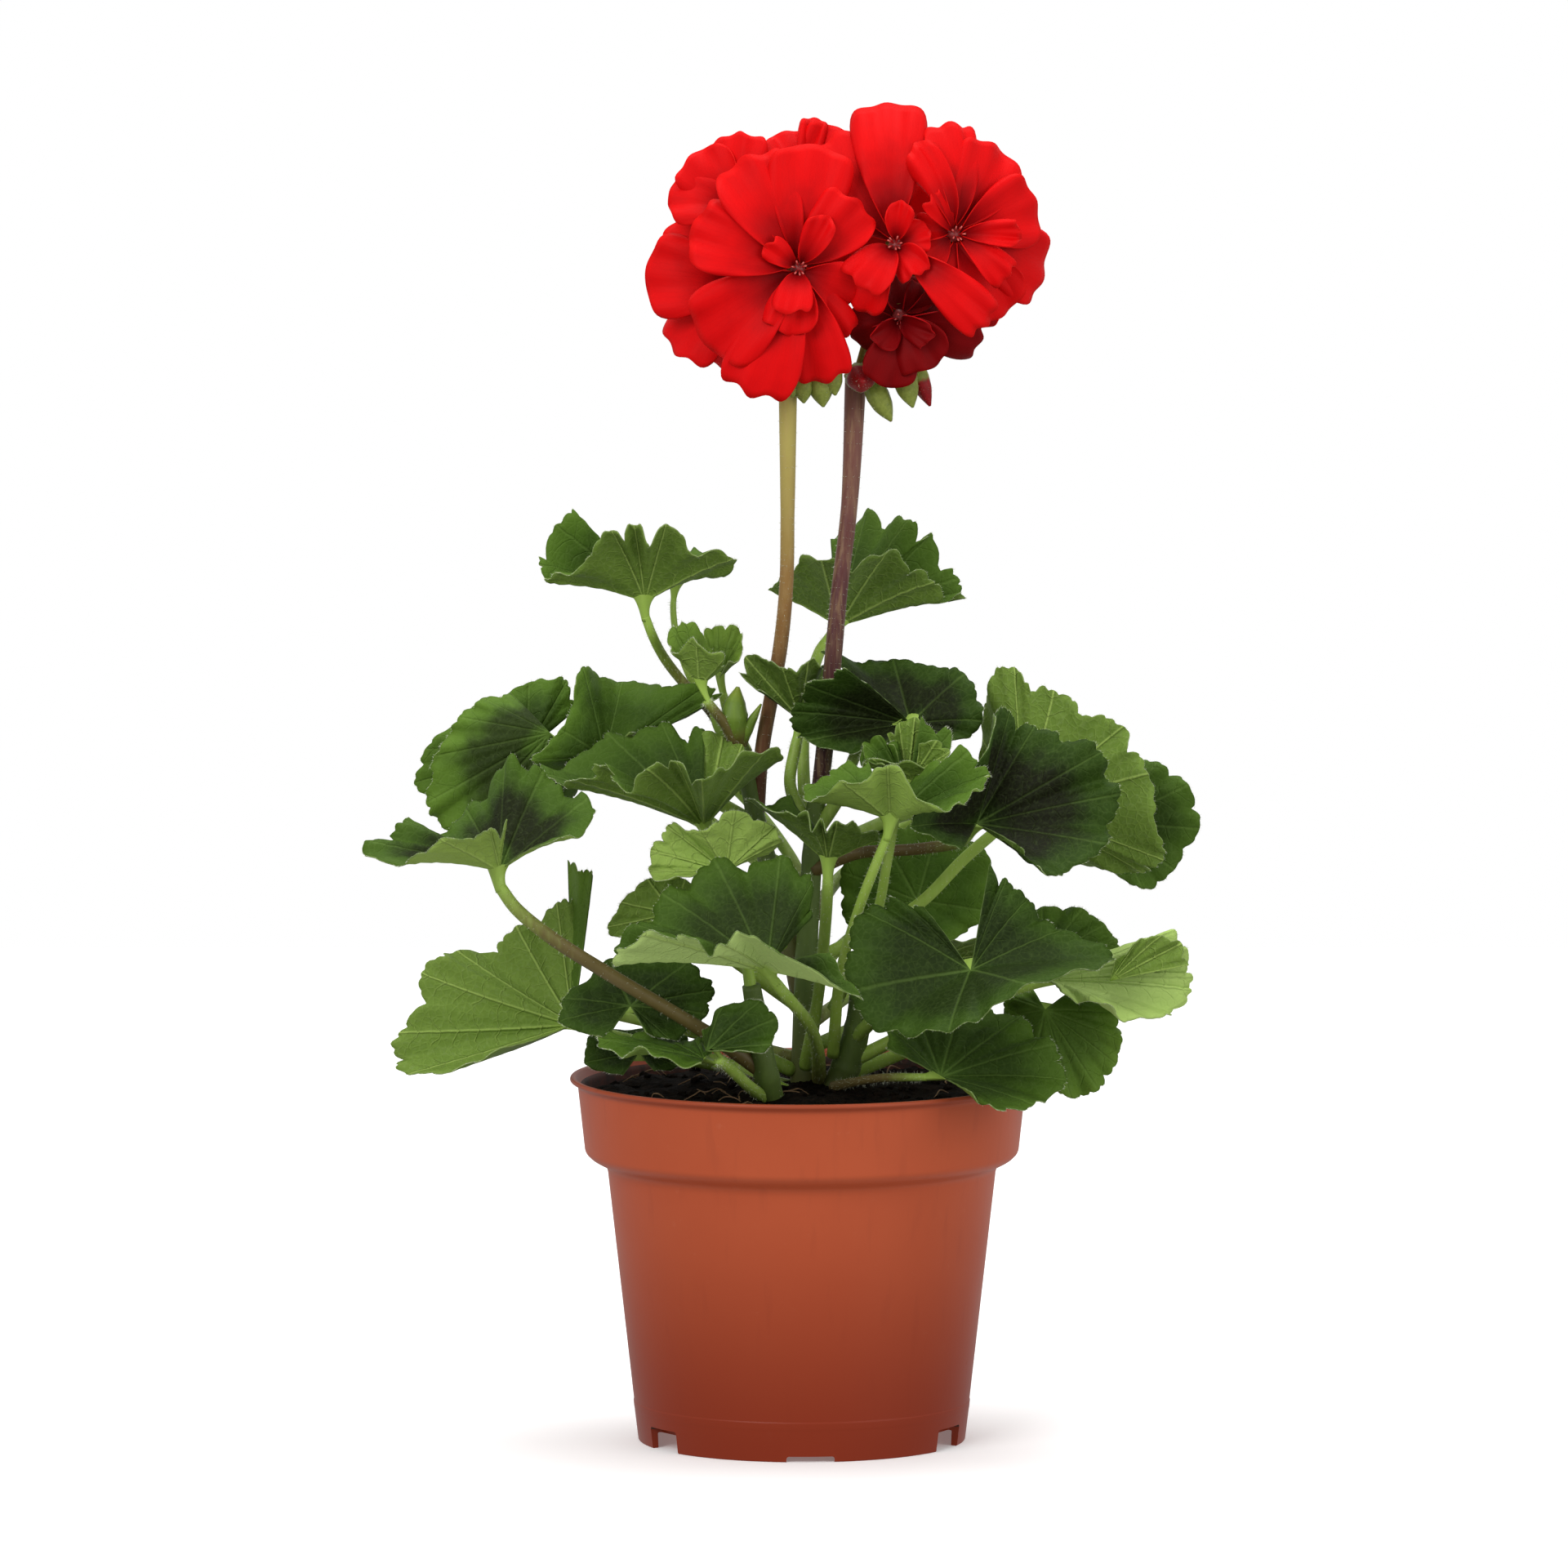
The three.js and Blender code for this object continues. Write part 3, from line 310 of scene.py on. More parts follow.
class Value:
    """A number that varies over a surface and can be reckoned with."""

    def __init__(self, finish, socket):
        self.finish = finish
        self.socket = socket

    def __add__(self, other):
        return self.finish.math("ADD", self, other)

    __radd__ = __add__

    def __mul__(self, other):
        return self.finish.math("MULTIPLY", self, other)

    __rmul__ = __mul__

    def __sub__(self, other):
        return self.finish.math("SUBTRACT", self, other)

    def __rsub__(self, other):
        return self.finish.math("SUBTRACT", other, self)


class Finish:
    """A material under construction."""

    def __init__(self, name, gloss=0.5, sheen=0):
        self.material = bpy.data.materials.new(name)
        self.material.use_nodes = True
        self.tree = self.material.node_tree
        self.shader = self.tree.nodes["Principled BSDF"]
        self.shader.inputs["Specular IOR Level"].default_value = gloss
        self.shader.inputs["Sheen Weight"].default_value = sheen

    def put(self, socket, value):
        """Links a value to a socket, or sets the socket to it."""
        if isinstance(value, Value):
            value = value.socket
        if isinstance(value, bpy.types.NodeSocket):
            self.tree.links.new(value, socket)
        else:
            socket.default_value = value

    def node(self, kind, settings, inputs, output=0):
        """One output of a new node with these settings and inputs."""
        made = self.tree.nodes.new("ShaderNode" + kind)
        for name, value in settings.items():
            setattr(made, name, value)
        for key, value in inputs.items():
            self.put(made.inputs[key], value)
        return made.outputs[output]

    def math(self, operation, *values):
        return Value(self, self.node("Math", {"operation": operation}, dict(enumerate(values))))

    def mark(self, name):
        """A number that the piece's mesh carries."""
        return Value(self, self.node("Attribute", {"attribute_name": name}, {}, "Fac"))

    @property
    def here(self):
        return self.node("TexCoord", {}, {}, "Object")

    @property
    def height(self):
        """How high a place lies, in millimetres."""
        return Value(self, self.node("SeparateXYZ", {}, {"Vector": self.here}, 2)) * (1 / MM)

    def stretched(self, x, y, z):
        """Object coordinates, stretched."""
        return self.node("Mapping", {}, {"Vector": self.here, "Scale": (x, y, z)})

    def noise(self, size, detail=2.0, rough=0.5, where=None):
        """A cloudy value from 0 to 1 whose patches are about so many millimetres across."""
        scale = {"Vector": where or self.here, "Scale": 1 / (size * MM), "Detail": detail, "Roughness": rough}
        return Value(self, self.node("TexNoise", {}, scale, 0))

    def cells(self, size, feature="DISTANCE_TO_EDGE"):
        """A net of cells about so many millimetres across."""
        inputs = {"Vector": self.here, "Scale": 1 / (size * MM)}
        return Value(self, self.node("TexVoronoi", {"feature": feature}, inputs, 0))

    def step(self, value, low, high):
        """A soft step from 0 to 1 between two values."""
        inputs = {"Value": value, "From Min": low, "From Max": high}
        return Value(self, self.node("MapRange", {"interpolation_type": "SMOOTHSTEP"}, inputs, 0))

    def mix(self, share, first, second):
        """The first colour, with a share of the second."""
        made = self.tree.nodes.new("ShaderNodeMix")
        made.data_type = "RGBA"
        sockets = [s for s in made.inputs if s.enabled]
        for socket, value in zip(sockets, (share, first, second)):
            self.put(socket, value)
        return [s for s in made.outputs if s.enabled][0]

    def surface(self, base, roughness, height=None, strength=0.5, distance=0.3):
        """Sets the colour, the roughness and the relief, whose depth is in millimetres."""
        self.put(self.shader.inputs["Base Color"], base)
        self.put(self.shader.inputs["Roughness"], roughness)
        if height is not None:
            inputs = {"Strength": strength, "Distance": distance * MM, "Height": height}
            self.put(self.shader.inputs["Normal"], self.node("Bump", {}, inputs))
        return self.material


def pot_finish():
    f = Finish("pot_plastic", gloss=0.16)
    cloud = f.noise(28, 3)
    fine = f.noise(0.7, 2)
    rubbed = f.step(f.noise(5, 5, 0.7), 0.62, 0.78)
    streak = f.noise(3, 3, 0.5, f.stretched(1, 1, 0.12))
    base = f.mix(cloud, colour(182, 85, 52), colour(172, 76, 45))
    base = f.mix(rubbed * 0.3, base, colour(188, 108, 80))
    base = f.mix(f.step(streak, 0.55, 0.75) * 0.2, base, colour(150, 68, 44))
    # Darker towards the foot, where less light falls: painted shade.
    base = f.mix(f.step(f.height, 78, 0) * 0.95, base, colour(124, 40, 17))
    base = f.mix(f.step(f.height, 91.6, 93.2) * 0.4, base, colour(104, 42, 26))
    rough = 0.36 + cloud * 0.1 + rubbed * 0.12
    return f.surface(base, rough, fine * 0.4 + streak * 0.3, 0.25, 0.12)


def pot_inside_finish():
    """The inside of the pot, darkened all over in cloudy blotches: painted shade."""
    f = Finish("pot_inside", gloss=0.3)
    # Blotches of painted shade, which also give the relief.
    shade_blotches = f.noise(6, 5, 0.7)
    base = f.mix(f.step(shade_blotches, 0.3, 0.7), colour(96, 46, 32), colour(34, 22, 17))
    return f.surface(base, 0.6, shade_blotches, 0.3, 0.3)


def soil_finish():
    f = Finish("peat", gloss=0.05)
    crumb = f.noise(2.2, 6, 0.7)
    grain = f.cells(1.6, "F1")
    base = f.mix(f.step(crumb, 0.35, 0.7), colour(9, 7, 5), colour(34, 25, 18))
    base = f.mix(f.step(f.noise(9, 2), 0.5, 0.75) * 0.5, base, colour(18, 15, 9))
    return f.surface(base, 0.9, crumb + grain * 0.6, 0.9, 1.4)


def fibre_finish():
    f = Finish("fibre")
    base = f.mix(f.noise(2, 2), colour(70, 50, 32), colour(150, 118, 82))
    return f.surface(base, 0.8)


def stem_finish():
    f = Finish("stem_skin", gloss=0.35)
    along = f.mark("along")
    bark = f.noise(2.5, 4, 0.6, f.stretched(1, 1, 0.35))
    low = f.step(along, 0.55, 0.1)
    base = f.mix(bark, colour(66, 86, 34), colour(98, 118, 52))
    base = f.mix(low * (0.3 + bark * 0.7), base, colour(92, 66, 40))
    return f.surface(base, 0.55, bark, 0.5, 0.3)


def bract_finish():
    """The scales at the end of a side stem: fresh green, with painted shade along one fold and a brown-red
    foot.
    """
    f = Finish("bract", gloss=0.3)
    along = f.mark("along")
    fold = f.step(f.mark("round"), 0.5, 1.0)
    streak = f.noise(1.5, 3, 0.6, f.stretched(1, 1, 0.3))
    base = f.mix(streak, colour(78, 104, 30), colour(118, 144, 52))
    # Painted shade along the fold.
    base = f.mix(fold * 0.7, base, colour(48, 72, 20))
    base = f.mix(f.step(along, 0.7, 1) * 0.6, base, colour(142, 158, 50))
    base = f.mix(f.step(along, 0.42, 0.18) * 0.6, base, colour(104, 66, 40))
    return f.surface(base, 0.5, streak, 0.3, 0.2)


def toned(f, tone, dark, green, light, pale):
    """A colour from dark to pale, from how light the leaf is, which is in part painted shade."""
    base = f.mix(f.step(tone, 0, 0.5), dark, green)
    base = f.mix(f.step(tone, 0.5, 1), base, light)
    return f.mix(f.step(tone, 1, 2), base, pale)


def vein_lines(f):
    """Where the veins run: the main ones, the ones that branch off them and the net between."""
    away = f.mark("vein")
    reach = f.mark("reach")
    drift = f.noise(7, 2) * 4.5
    main = f.step(away, 0.62, 0.08)
    branch = f.math("PINGPONG", reach - away * 0.9 + drift, 2.6)
    branch = f.step(branch, 0.3, 0.03) * f.step(away, 5.5, 2.5)
    net = f.step(f.cells(1.9), 0.15, 0.02)
    return main, branch, net


def leaf_finish():
    f = Finish("leaf_upper", gloss=0.09)
    tone = f.mark("tone")
    pale = colour(206, 220, 164)
    blade = toned(f, tone, colour(26, 40, 11), colour(60, 88, 24), colour(128, 156, 64), pale)
    margin = toned(f, tone, colour(44, 66, 17), colour(82, 112, 34), colour(150, 182, 74), pale)
    main, branch, net = vein_lines(f)
    out = f.mark("out")
    cloud = f.noise(9, 3)
    speck = f.noise(0.9, 3)
    wander = (f.noise(7, 3) - 0.5) * 0.4
    ring = f.step(out + wander, 0.06, 0.28) * f.step(out + wander, 0.86, 0.56)
    zone = ring * f.mark("zone")
    base = f.mix(f.step(out + wander * 0.6, 0.55, 1.05), blade, margin)
    base = f.mix(f.step(cloud, 0.35, 0.75) * 0.3, base, margin)
    base = f.mix(zone * 0.86, base, colour(22, 21, 11))
    base = f.mix(f.step(out, 0.1, 0.0) * 0.5, base, margin)
    veins = f.math("MAXIMUM", main * (0.3 - out * 0.14), branch * 0.09)
    veins = f.math("MAXIMUM", veins, net * 0.05)
    base = f.mix(veins * (1 - zone * 0.6), base, colour(122, 152, 74))
    base = f.mix(f.step(speck, 0.5, 0.8) * 0.1, base, colour(118, 138, 84))
    relief = (1 - main * 0.7 - branch * 0.4 - net * 0.14) + speck * 0.16
    return f.surface(base, 0.52 + speck * 0.16, relief, 0.7, 0.45)


def leaf_under_finish():
    f = Finish("leaf_underside", gloss=0.09)
    main, branch, net = vein_lines(f)
    tone = f.mark("under")
    speck = f.noise(0.9, 3)
    cloud = f.noise(9, 3)
    base = f.mix(f.step(tone, 0, 0.5), colour(56, 78, 24), colour(98, 124, 48))
    base = f.mix(f.step(tone, 0.5, 1), base, colour(152, 180, 84))
    base = f.mix(f.step(cloud, 0.35, 0.8) * 0.35, base, colour(118, 144, 60))
    base = f.mix(f.step(tone, 1, 2), base, colour(198, 222, 144))
    base = f.mix(f.step(speck, 0.45, 0.8) * 0.22, base, colour(140, 158, 104))
    veins = f.math("MAXIMUM", main * 0.6, f.math("MAXIMUM", branch * 0.26, net * 0.08))
    base = f.mix(veins, base, colour(168, 194, 100))
    foot = f.mix(tone, colour(96, 124, 44), colour(156, 186, 78))
    base = f.mix(f.step(f.mark("out"), 0.2, 0.02) * 0.85, base, foot)
    relief = main * 1.1 + branch * 0.5 + net * 0.16 + speck * 0.16
    return f.surface(base, 0.6, relief, 0.8, 0.5)


def leaf_rim_finish():
    f = Finish("leaf_rim", gloss=0.2)
    base = f.mix(f.mark("tone"), colour(78, 100, 44), colour(142, 166, 88))
    base = f.mix(f.step(f.noise(1.4, 2), 0.4, 0.7) * 0.3, base, colour(160, 172, 118))
    return f.surface(base, 0.6)


def leaf_stalk_finish():
    """Yellow-green, and brown-red towards the root on the stalks that are marked so."""
    f = Finish("leaf_stalk", gloss=0.3)
    along = f.mark("along")
    streak = f.noise(1.4, 3, 0.6, f.stretched(1, 1, 0.15))
    base = f.mix(f.mark("tone"), colour(76, 98, 34), colour(146, 176, 70))
    base = f.mix(f.step(streak, 0.4, 0.8) * 0.3, base, colour(176, 190, 112))
    base = f.mix(f.step(along, 0.6, 1) * 0.45, base, colour(160, 192, 84))
    red = f.mark("red")
    brown = f.step(along + (streak - 0.5) * 0.3, red * 1.25, red * 1.25 - 0.5) * f.step(red, 0, 0.1)
    base = f.mix(brown * 0.85, base, colour(84, 52, 36))
    return f.surface(base, 0.5, streak, 0.35, 0.2)


def hair_finish():
    f = Finish("hairs", sheen=0.4)
    base = f.mix(f.noise(4, 1), colour(196, 204, 170), colour(226, 230, 208))
    return f.surface(base, 0.5)


def flower_stalk_finish(name, top, middle, low):
    f = Finish(name, gloss=0.2, sheen=0.1)
    along = f.mark("along")
    streak = f.noise(1.3, 4, 0.6, f.stretched(1, 1, 0.08))
    cloud = f.noise(12, 3)
    place = along + (cloud - 0.5) * 0.25
    base = f.mix(f.step(place, 0.12, 0.55), low, middle)
    base = f.mix(f.step(place, 0.52, 0.98), base, top)
    base = f.mix(f.step(streak, 0.4, 0.75) * 0.3, base, colour(176, 150, 104))
    return f.surface(base, 0.5, streak, 0.4, 0.2)


def pedicel_finish():
    """The floret stalks and calyces: green, with red towards the tips."""
    f = Finish("calyx", gloss=0.2, sheen=0.05)
    streak = f.noise(0.9, 3, 0.6)
    base = f.mix(streak, colour(92, 92, 34), colour(146, 150, 66))
    base = f.mix(f.mark("red") * f.step(streak, 0.2, 0.5), base, colour(150, 14, 16))
    return f.surface(base, 0.5, streak, 0.3, 0.15)


def bud_finish():
    """A bud: green sepals that part over the red of the petals."""
    f = Finish("bud", gloss=0.2, sheen=0.05)
    streak = f.noise(0.9, 3, 0.6)
    green = f.mix(streak, colour(88, 100, 32), colour(146, 156, 70))
    red = f.mix(streak, colour(84, 2, 8), colour(168, 8, 14))
    share = f.mark("red")
    shown = f.step(f.mark("along") + (streak - 0.5) * 0.1, 1.02 - share, 1.1 - share)
    return f.surface(f.mix(shown, green, red), 0.45, streak, 0.3, 0.15)


def petal_finish():
    f = Finish("petal", gloss=0.07)
    out = f.mark("out")
    turn = f.mark("turn")
    shade = f.mark("shade")
    ribs = f.math("PINGPONG", turn * 9 + (f.noise(5, 2) - 0.5) * 1.4, 0.5)
    ribs = f.step(ribs, 0.22, 0.02)
    cloud = f.noise(8, 3)
    base = f.mix(cloud, colour(196, 4, 8), colour(222, 9, 11))
    # Shade darkens a whole floret that lies in shadow: painted shade.
    base = f.mix(shade, base, colour(66, 0, 3))
    # Darker towards the heart, where the petals lie over one another: painted shade.
    base = f.mix(f.step(out + (cloud - 0.5) * 0.3, 0.75, 0.0) * 0.85, base, colour(86, 1, 6))
    base = f.mix(ribs * (0.09 - out * 0.06), base, colour(140, 4, 10))
    # Lighter at the very margin, and not on a shaded floret: a painted highlight.
    base = f.mix(f.step(out, 0.93, 1.0) * 0.2 * (1 - shade), base, colour(236, 30, 24))
    fine = f.noise(0.5, 2)
    return f.surface(base, 0.5 + cloud * 0.14, fine * 0.2 - ribs * 0.14, 0.3, 0.2)


def petal_rim_finish():
    f = Finish("petal_rim", gloss=0.07)
    base = f.mix(f.noise(2, 2), colour(204, 10, 11), colour(228, 26, 20))
    # Shade darkens the rims of a floret that lies in shadow: painted shade.
    return f.surface(f.mix(f.mark("shade"), base, colour(150, 6, 14)), 0.5)


def heart_finish():
    f = Finish("floret_heart")
    return f.surface(f.mix(f.noise(0.8, 2), colour(84, 6, 12), colour(150, 30, 26)), 0.5)


def stamen_finish():
    f = Finish("stamens", gloss=0.6)
    base = f.mix(f.step(f.mark("along"), 0.7, 0.9), colour(168, 16, 18), colour(206, 92, 84))
    return f.surface(base, 0.35)


# The pot, turned ring by ring from one closed profile.
def rounded(profile):
    """The profile with its corners rounded. Each corner holds its radius, its height and how far its
    rounding reaches. The two ends stay as they are."""
    steps = 4
    made = []
    for k, corner in enumerate(profile):
        here = np.array(corner[:2], float)
        if k in (0, len(profile) - 1):
            made.append(here)
            continue
        soft = corner[2]
        before = np.array(profile[k - 1][:2], float) - here
        after = np.array(profile[k + 1][:2], float) - here
        start = here + unit(before) * min(soft, np.linalg.norm(before) * 0.45)
        end = here + unit(after) * min(soft, np.linalg.norm(after) * 0.45)
        for i in range(steps + 1):
            w = i / steps
            made.append(start * (1 - w) ** 2 + here * 2 * w * (1 - w) + end * w * w)
    return made


def turned_piece(name, profile, sides, material):
    """A closed round piece: a circle, pushed from ring to ring of its profile in edit mode."""
    radius, height = profile[1]
    bpy.ops.mesh.primitive_circle_add(vertices=sides, radius=radius * MM, location=(0, 0, 0))
    piece = bpy.context.object
    piece.name = piece.data.name = name
    bpy.ops.object.mode_set(mode="EDIT")
    bpy.ops.transform.translate(value=(0, 0, height * MM))
    bpy.ops.mesh.edge_face_add()
    bpy.context.tool_settings.mesh_select_mode = (False, True, False)
    bpy.ops.mesh.select_all(action="SELECT")
    for r, z in profile[2:-1]:
        bpy.ops.mesh.extrude_edges_move(TRANSFORM_OT_translate={"value": (0, 0, (z - height) * MM)})
        share = r / radius
        bpy.ops.transform.resize(value=(share, share, 1), center_override=(0, 0, z * MM))
        radius, height = r, z
    bpy.ops.mesh.edge_face_add()
    bpy.ops.mesh.select_all(action="SELECT")
    bpy.ops.mesh.normals_make_consistent(inside=False)
    bpy.ops.object.mode_set(mode="OBJECT")
    bpy.context.tool_settings.mesh_select_mode = (True, False, False)
    piece.data.materials.append(material)
    return piece


def pot_piece():
    """The pot, with three low notches and three high ones in its foot ring."""
    band = POT_HEIGHT - 2.2
    seam = FOOT_STEP + 1.6
    slope = (BODY_TOP_RADIUS - BODY_FOOT_RADIUS) / (LEDGE_HEIGHT - FOOT_STEP)
    seam_radius = BODY_FOOT_RADIUS + slope * (seam - FOOT_STEP)
    profile = [
        [0, 0],
        [HUB_RADIUS, 0, 0.5],
        [HUB_RADIUS + 1, FLOOR_HEIGHT, 0.5],
        [FOOT_RADIUS - WALL - 0.3, FLOOR_HEIGHT, 0.4],
        [FOOT_RADIUS - WALL - 0.5, 0, 0.3],
        [FOOT_RADIUS, 0, 0.35],
        [BODY_FOOT_RADIUS - 0.1, FOOT_STEP - 0.5, 0.3],
        [BODY_FOOT_RADIUS, FOOT_STEP, 0.2],
        [seam_radius, seam, 0.1],
        [seam_radius - 0.14, seam + 0.3, 0.1],
        [BODY_TOP_RADIUS, LEDGE_HEIGHT, 1.6],
        [BAND_FOOT_RADIUS - 1.6, BAND_FOOT_HEIGHT - 1.6, 1.2],
        [BAND_FOOT_RADIUS, BAND_FOOT_HEIGHT, 0.9],
        [BAND_TOP_RADIUS, band, 0.8],
        [LIP_RADIUS, POT_HEIGHT - 0.9, 0.5],
        [LIP_RADIUS - 0.3, POT_HEIGHT, 0.35],
        [LIP_RADIUS - 1.5, POT_HEIGHT, 0.5],
        [BAND_TOP_RADIUS - WALL, band - 0.4, 0.8],
        [BAND_FOOT_RADIUS - WALL, BAND_FOOT_HEIGHT + 0.8, 0.5],
        [BODY_TOP_RADIUS - WALL, LEDGE_HEIGHT + 0.6, 1],
        [BODY_FOOT_RADIUS - WALL - 0.6, FLOOR_HEIGHT + WALL, 1],
        [0, FLOOR_HEIGHT + WALL],
    ]
    pot = turned_piece("pot_body", rounded(profile), POT_SIDES, pot_finish())
    for third in (0, 120, 240):
        notch_cut(pot, third + 3, 12.4, 1.5)
        notch_cut(pot, third + 63, 12, 5.7)
    # The faces inside the pot take the darker inside finish: painted shade.
    pot.data.materials.append(pot_inside_finish())
    for face in pot.data.polygons:
        place, way = face.center, face.normal
        within = math.hypot(place.x, place.y) < (BAND_TOP_RADIUS - 0.4 * WALL) * MM
        above = place.z > (FLOOR_HEIGHT + 0.5 * WALL) * MM
        inwards = place.x * way.x + place.y * way.y < 0 or way.z > 0.9
        if within and above and inwards:
            face.material_index = 1
    bpy.ops.object.select_all(action="DESELECT")
    pot.select_set(True)
    bpy.context.view_layer.objects.active = pot
    bpy.ops.object.shade_smooth_by_angle(angle=math.radians(38))
    kept(pot, "pot")


def notch_cut(pot, around, width, height):
    """Cuts a notch with rounded corners through the foot ring."""
    reach = 8
    bpy.ops.mesh.primitive_cube_add(size=1)
    cutter = bpy.context.object
    bpy.ops.object.mode_set(mode="EDIT")
    bpy.ops.transform.resize(value=(width * MM, reach * MM, 2 * height * MM))
    bpy.ops.transform.translate(value=(0, -(FOOT_RADIUS + 1) * MM, 0))
    bpy.ops.object.mode_set(mode="OBJECT")
    turn = math.radians(around)
    for point in cutter.data.vertices:
        x, y = point.co.x, point.co.y
        point.co.x = x * math.cos(turn) - y * math.sin(turn)
        point.co.y = x * math.sin(turn) + y * math.cos(turn)
    soften = cutter.modifiers.new("soften", "BEVEL")
    soften.width = 0.7 * MM
    soften.segments = 3
    bpy.ops.object.modifier_apply(modifier=soften.name)
    bpy.ops.object.select_all(action="DESELECT")
    bpy.context.view_layer.objects.active = pot
    pot.select_set(True)
    cut = pot.modifiers.new("notch", "BOOLEAN")
    cut.operation = "DIFFERENCE"
    cut.solver = "EXACT"
    cut.object = cutter
    bpy.ops.object.modifier_apply(modifier=cut.name)
    bpy.data.objects.remove(cutter)


# The soil: a filled pot of peat, with a lumpy top, crumbs and fibres on it.
def lumps(x, y):
    """How far the soil's top stands over its level, in millimetres."""
    low = 1.1 * math.sin(x * 0.23 + 1) * math.cos(y * 0.19 - 0.6)
    rough = noise.fractal(Vector((x * 0.16, y * 0.16, 3)), 0.8, 2.1, 5)
    return low + 0.9 * rough


def soil_top(share):
    """How high the soil lies, lumps aside, at a share of its radius."""
    return SOIL_HEIGHT + SOIL_CROWN * (1 - share**2) - 0.6


def soil_piece(material):
    base = FLOOR_HEIGHT + WALL + GAP
    inside = WALL + GAP
    profile = [
        [0, base],
        [BODY_FOOT_RADIUS - inside - 1, base],
        [BODY_TOP_RADIUS - inside - 0.3, LEDGE_HEIGHT + 1.4],
        [BAND_FOOT_RADIUS - inside - 0.2, BAND_FOOT_HEIGHT + 1.8],
        [SOIL_RADIUS, SOIL_HEIGHT - 1.4],
    ]
    for k in range(1, SOIL_RINGS):
        share = 1 - k / SOIL_RINGS
        profile.append([SOIL_RADIUS * share, soil_top(share)])
    profile.append([0, SOIL_HEIGHT + SOIL_CROWN])
    soil = turned_piece("soil_fill", profile, SOIL_SIDES, material)
    for point in soil.data.vertices:
        x, y, z = (v / MM for v in point.co)
        if z > SOIL_HEIGHT - 1.2:
            edge = min((SOIL_RADIUS - math.hypot(x, y)) / 4, 1)
            point.co.z += edge * lumps(x, y) * MM
    bpy.ops.object.shade_smooth()
    return soil


def crumb_pieces(material, fibre):
    """Crumbs of peat on the soil, and fibres that stick out of it."""
    def top(x, y):
        return soil_top(math.hypot(x, y) / SOIL_RADIUS) + lumps(x, y)

    draw = draws(5)
    pieces = []
    for _ in range(CRUMBS):
        r, a = 52 * math.sqrt(draw(0, 1)), draw(0, 2 * math.pi)
        x, y = r * math.cos(a), r * math.sin(a)
        size = draw(0.5, 1.6)
        bpy.ops.mesh.primitive_ico_sphere_add(subdivisions=1, radius=size * MM)
        crumb = bpy.context.object
        for point in crumb.data.vertices:
            point.co *= draw(0.7, 1.2)
            point.co.z *= 0.7
            point.co += Vector((x, y, top(x, y) + size * 0.15)) * MM
        crumb.data.materials.append(material)
        pieces.append(crumb)
    for _ in range(FIBRES):
        r, a = 50 * math.sqrt(draw(0, 1)), draw(0, 2 * math.pi)
        way, long = draw(0, 2 * math.pi), draw(4, 11)
        points = []
        for i in range(4):
            x = r * math.cos(a) + long * (i / 3 - 0.5) * math.cos(way) + draw(-1, 1)
            y = r * math.sin(a) + long * (i / 3 - 0.5) * math.sin(way) + draw(-1, 1)
            lift = (0.1, 0.9, 1.1, -0.3)[i] * draw(0.6, 1.6)
            points.append((x, y, top(x, y) + lift))
        pieces.append(tube_piece("fibre", points, [0.16, 0.2, 0.08], 5, 8, fibre))
    return pieces


# The stems, and the pointed bracts where a side stem ends.
STEMS = [
    dict(points=[[0, 52, 2], [0.5, 88, 1], [1, 120, 0], [2.5, 148, 0], [4, 170, -1]],
         radii=[3.2, 3.6, 2.9, 2.6, 2.4]),
    dict(points=[[1, 108, 1], [-4, 132.5, 5], [-11, 158.5, 7], [-16, 180.5, 6]],
         radii=[2.4, 2.6, 2.4, 2]),
    dict(points=[[0, 74, 1], [9, 91.5, -3], [14, 105.5, -6], [15, 121, -10]],
         radii=[3, 4, 3.4, 2.2]),
    dict(points=[[0, 70, 2], [-6, 82.5, -16], [-9, 95, -30], [-13, 118.5, -34]],
         radii=[2.6, 3.4, 3.2, 2.4]),
]
BRACTS = [
    dict(points=[[-16, 179.5, 6], [-17.5, 188, 3], [-16.5, 195.5, 3]], radii=[1.6, 3.4, 4, 2.9, 0.5]),
    dict(points=[[-16, 179.5, 6], [-20.5, 185, 5.5], [-23.5, 191.5, 6]], radii=[1.6, 2.1, 2.5, 1.9, 0.7]),
    dict(points=[[-16, 179.5, 6], [-14, 184.5, 3.5], [-10.5, 191, 2]], radii=[1.6, 1.6, 1.7, 1.2, 0.3]),
]


def stems_piece(hairs):
    """The main stem, its side stems and the bracts at the end of one of them."""
    def folds(share, angle):
        return 1 - 0.1 * np.cos(2 * angle) - 0.06 * np.abs(np.sin(2.5 * angle)) * share

    skin = stem_finish()
    leafy = bract_finish()
    pieces = []
    draw = draws(3)
    for k, stem in enumerate(STEMS):
        def knots(share, angle, k=k):
            scars = 0.07 * np.maximum(np.sin(share * 26 + k), 0) ** 6
            return 1 + scars + 0.02 * np.sin(5 * angle + 9 * share)

        points = seen(stem["points"])
        pieces.append(tube_piece("stem", points, stem["radii"], 20, 70, skin, knots))
        pieces.append(stalk_hairs(points, stem["radii"], HAIRS["stem"], hairs, draw))
    for bract in BRACTS:
        points = seen(bract["points"])
        pieces.append(tube_piece("bract", points, bract["radii"], 24, 24, leafy, folds))
        pieces.append(stalk_hairs(points, bract["radii"], HAIRS["bract"], hairs, draw, 0.7))
    kept(joined(pieces, "stems_skin"), "stems")


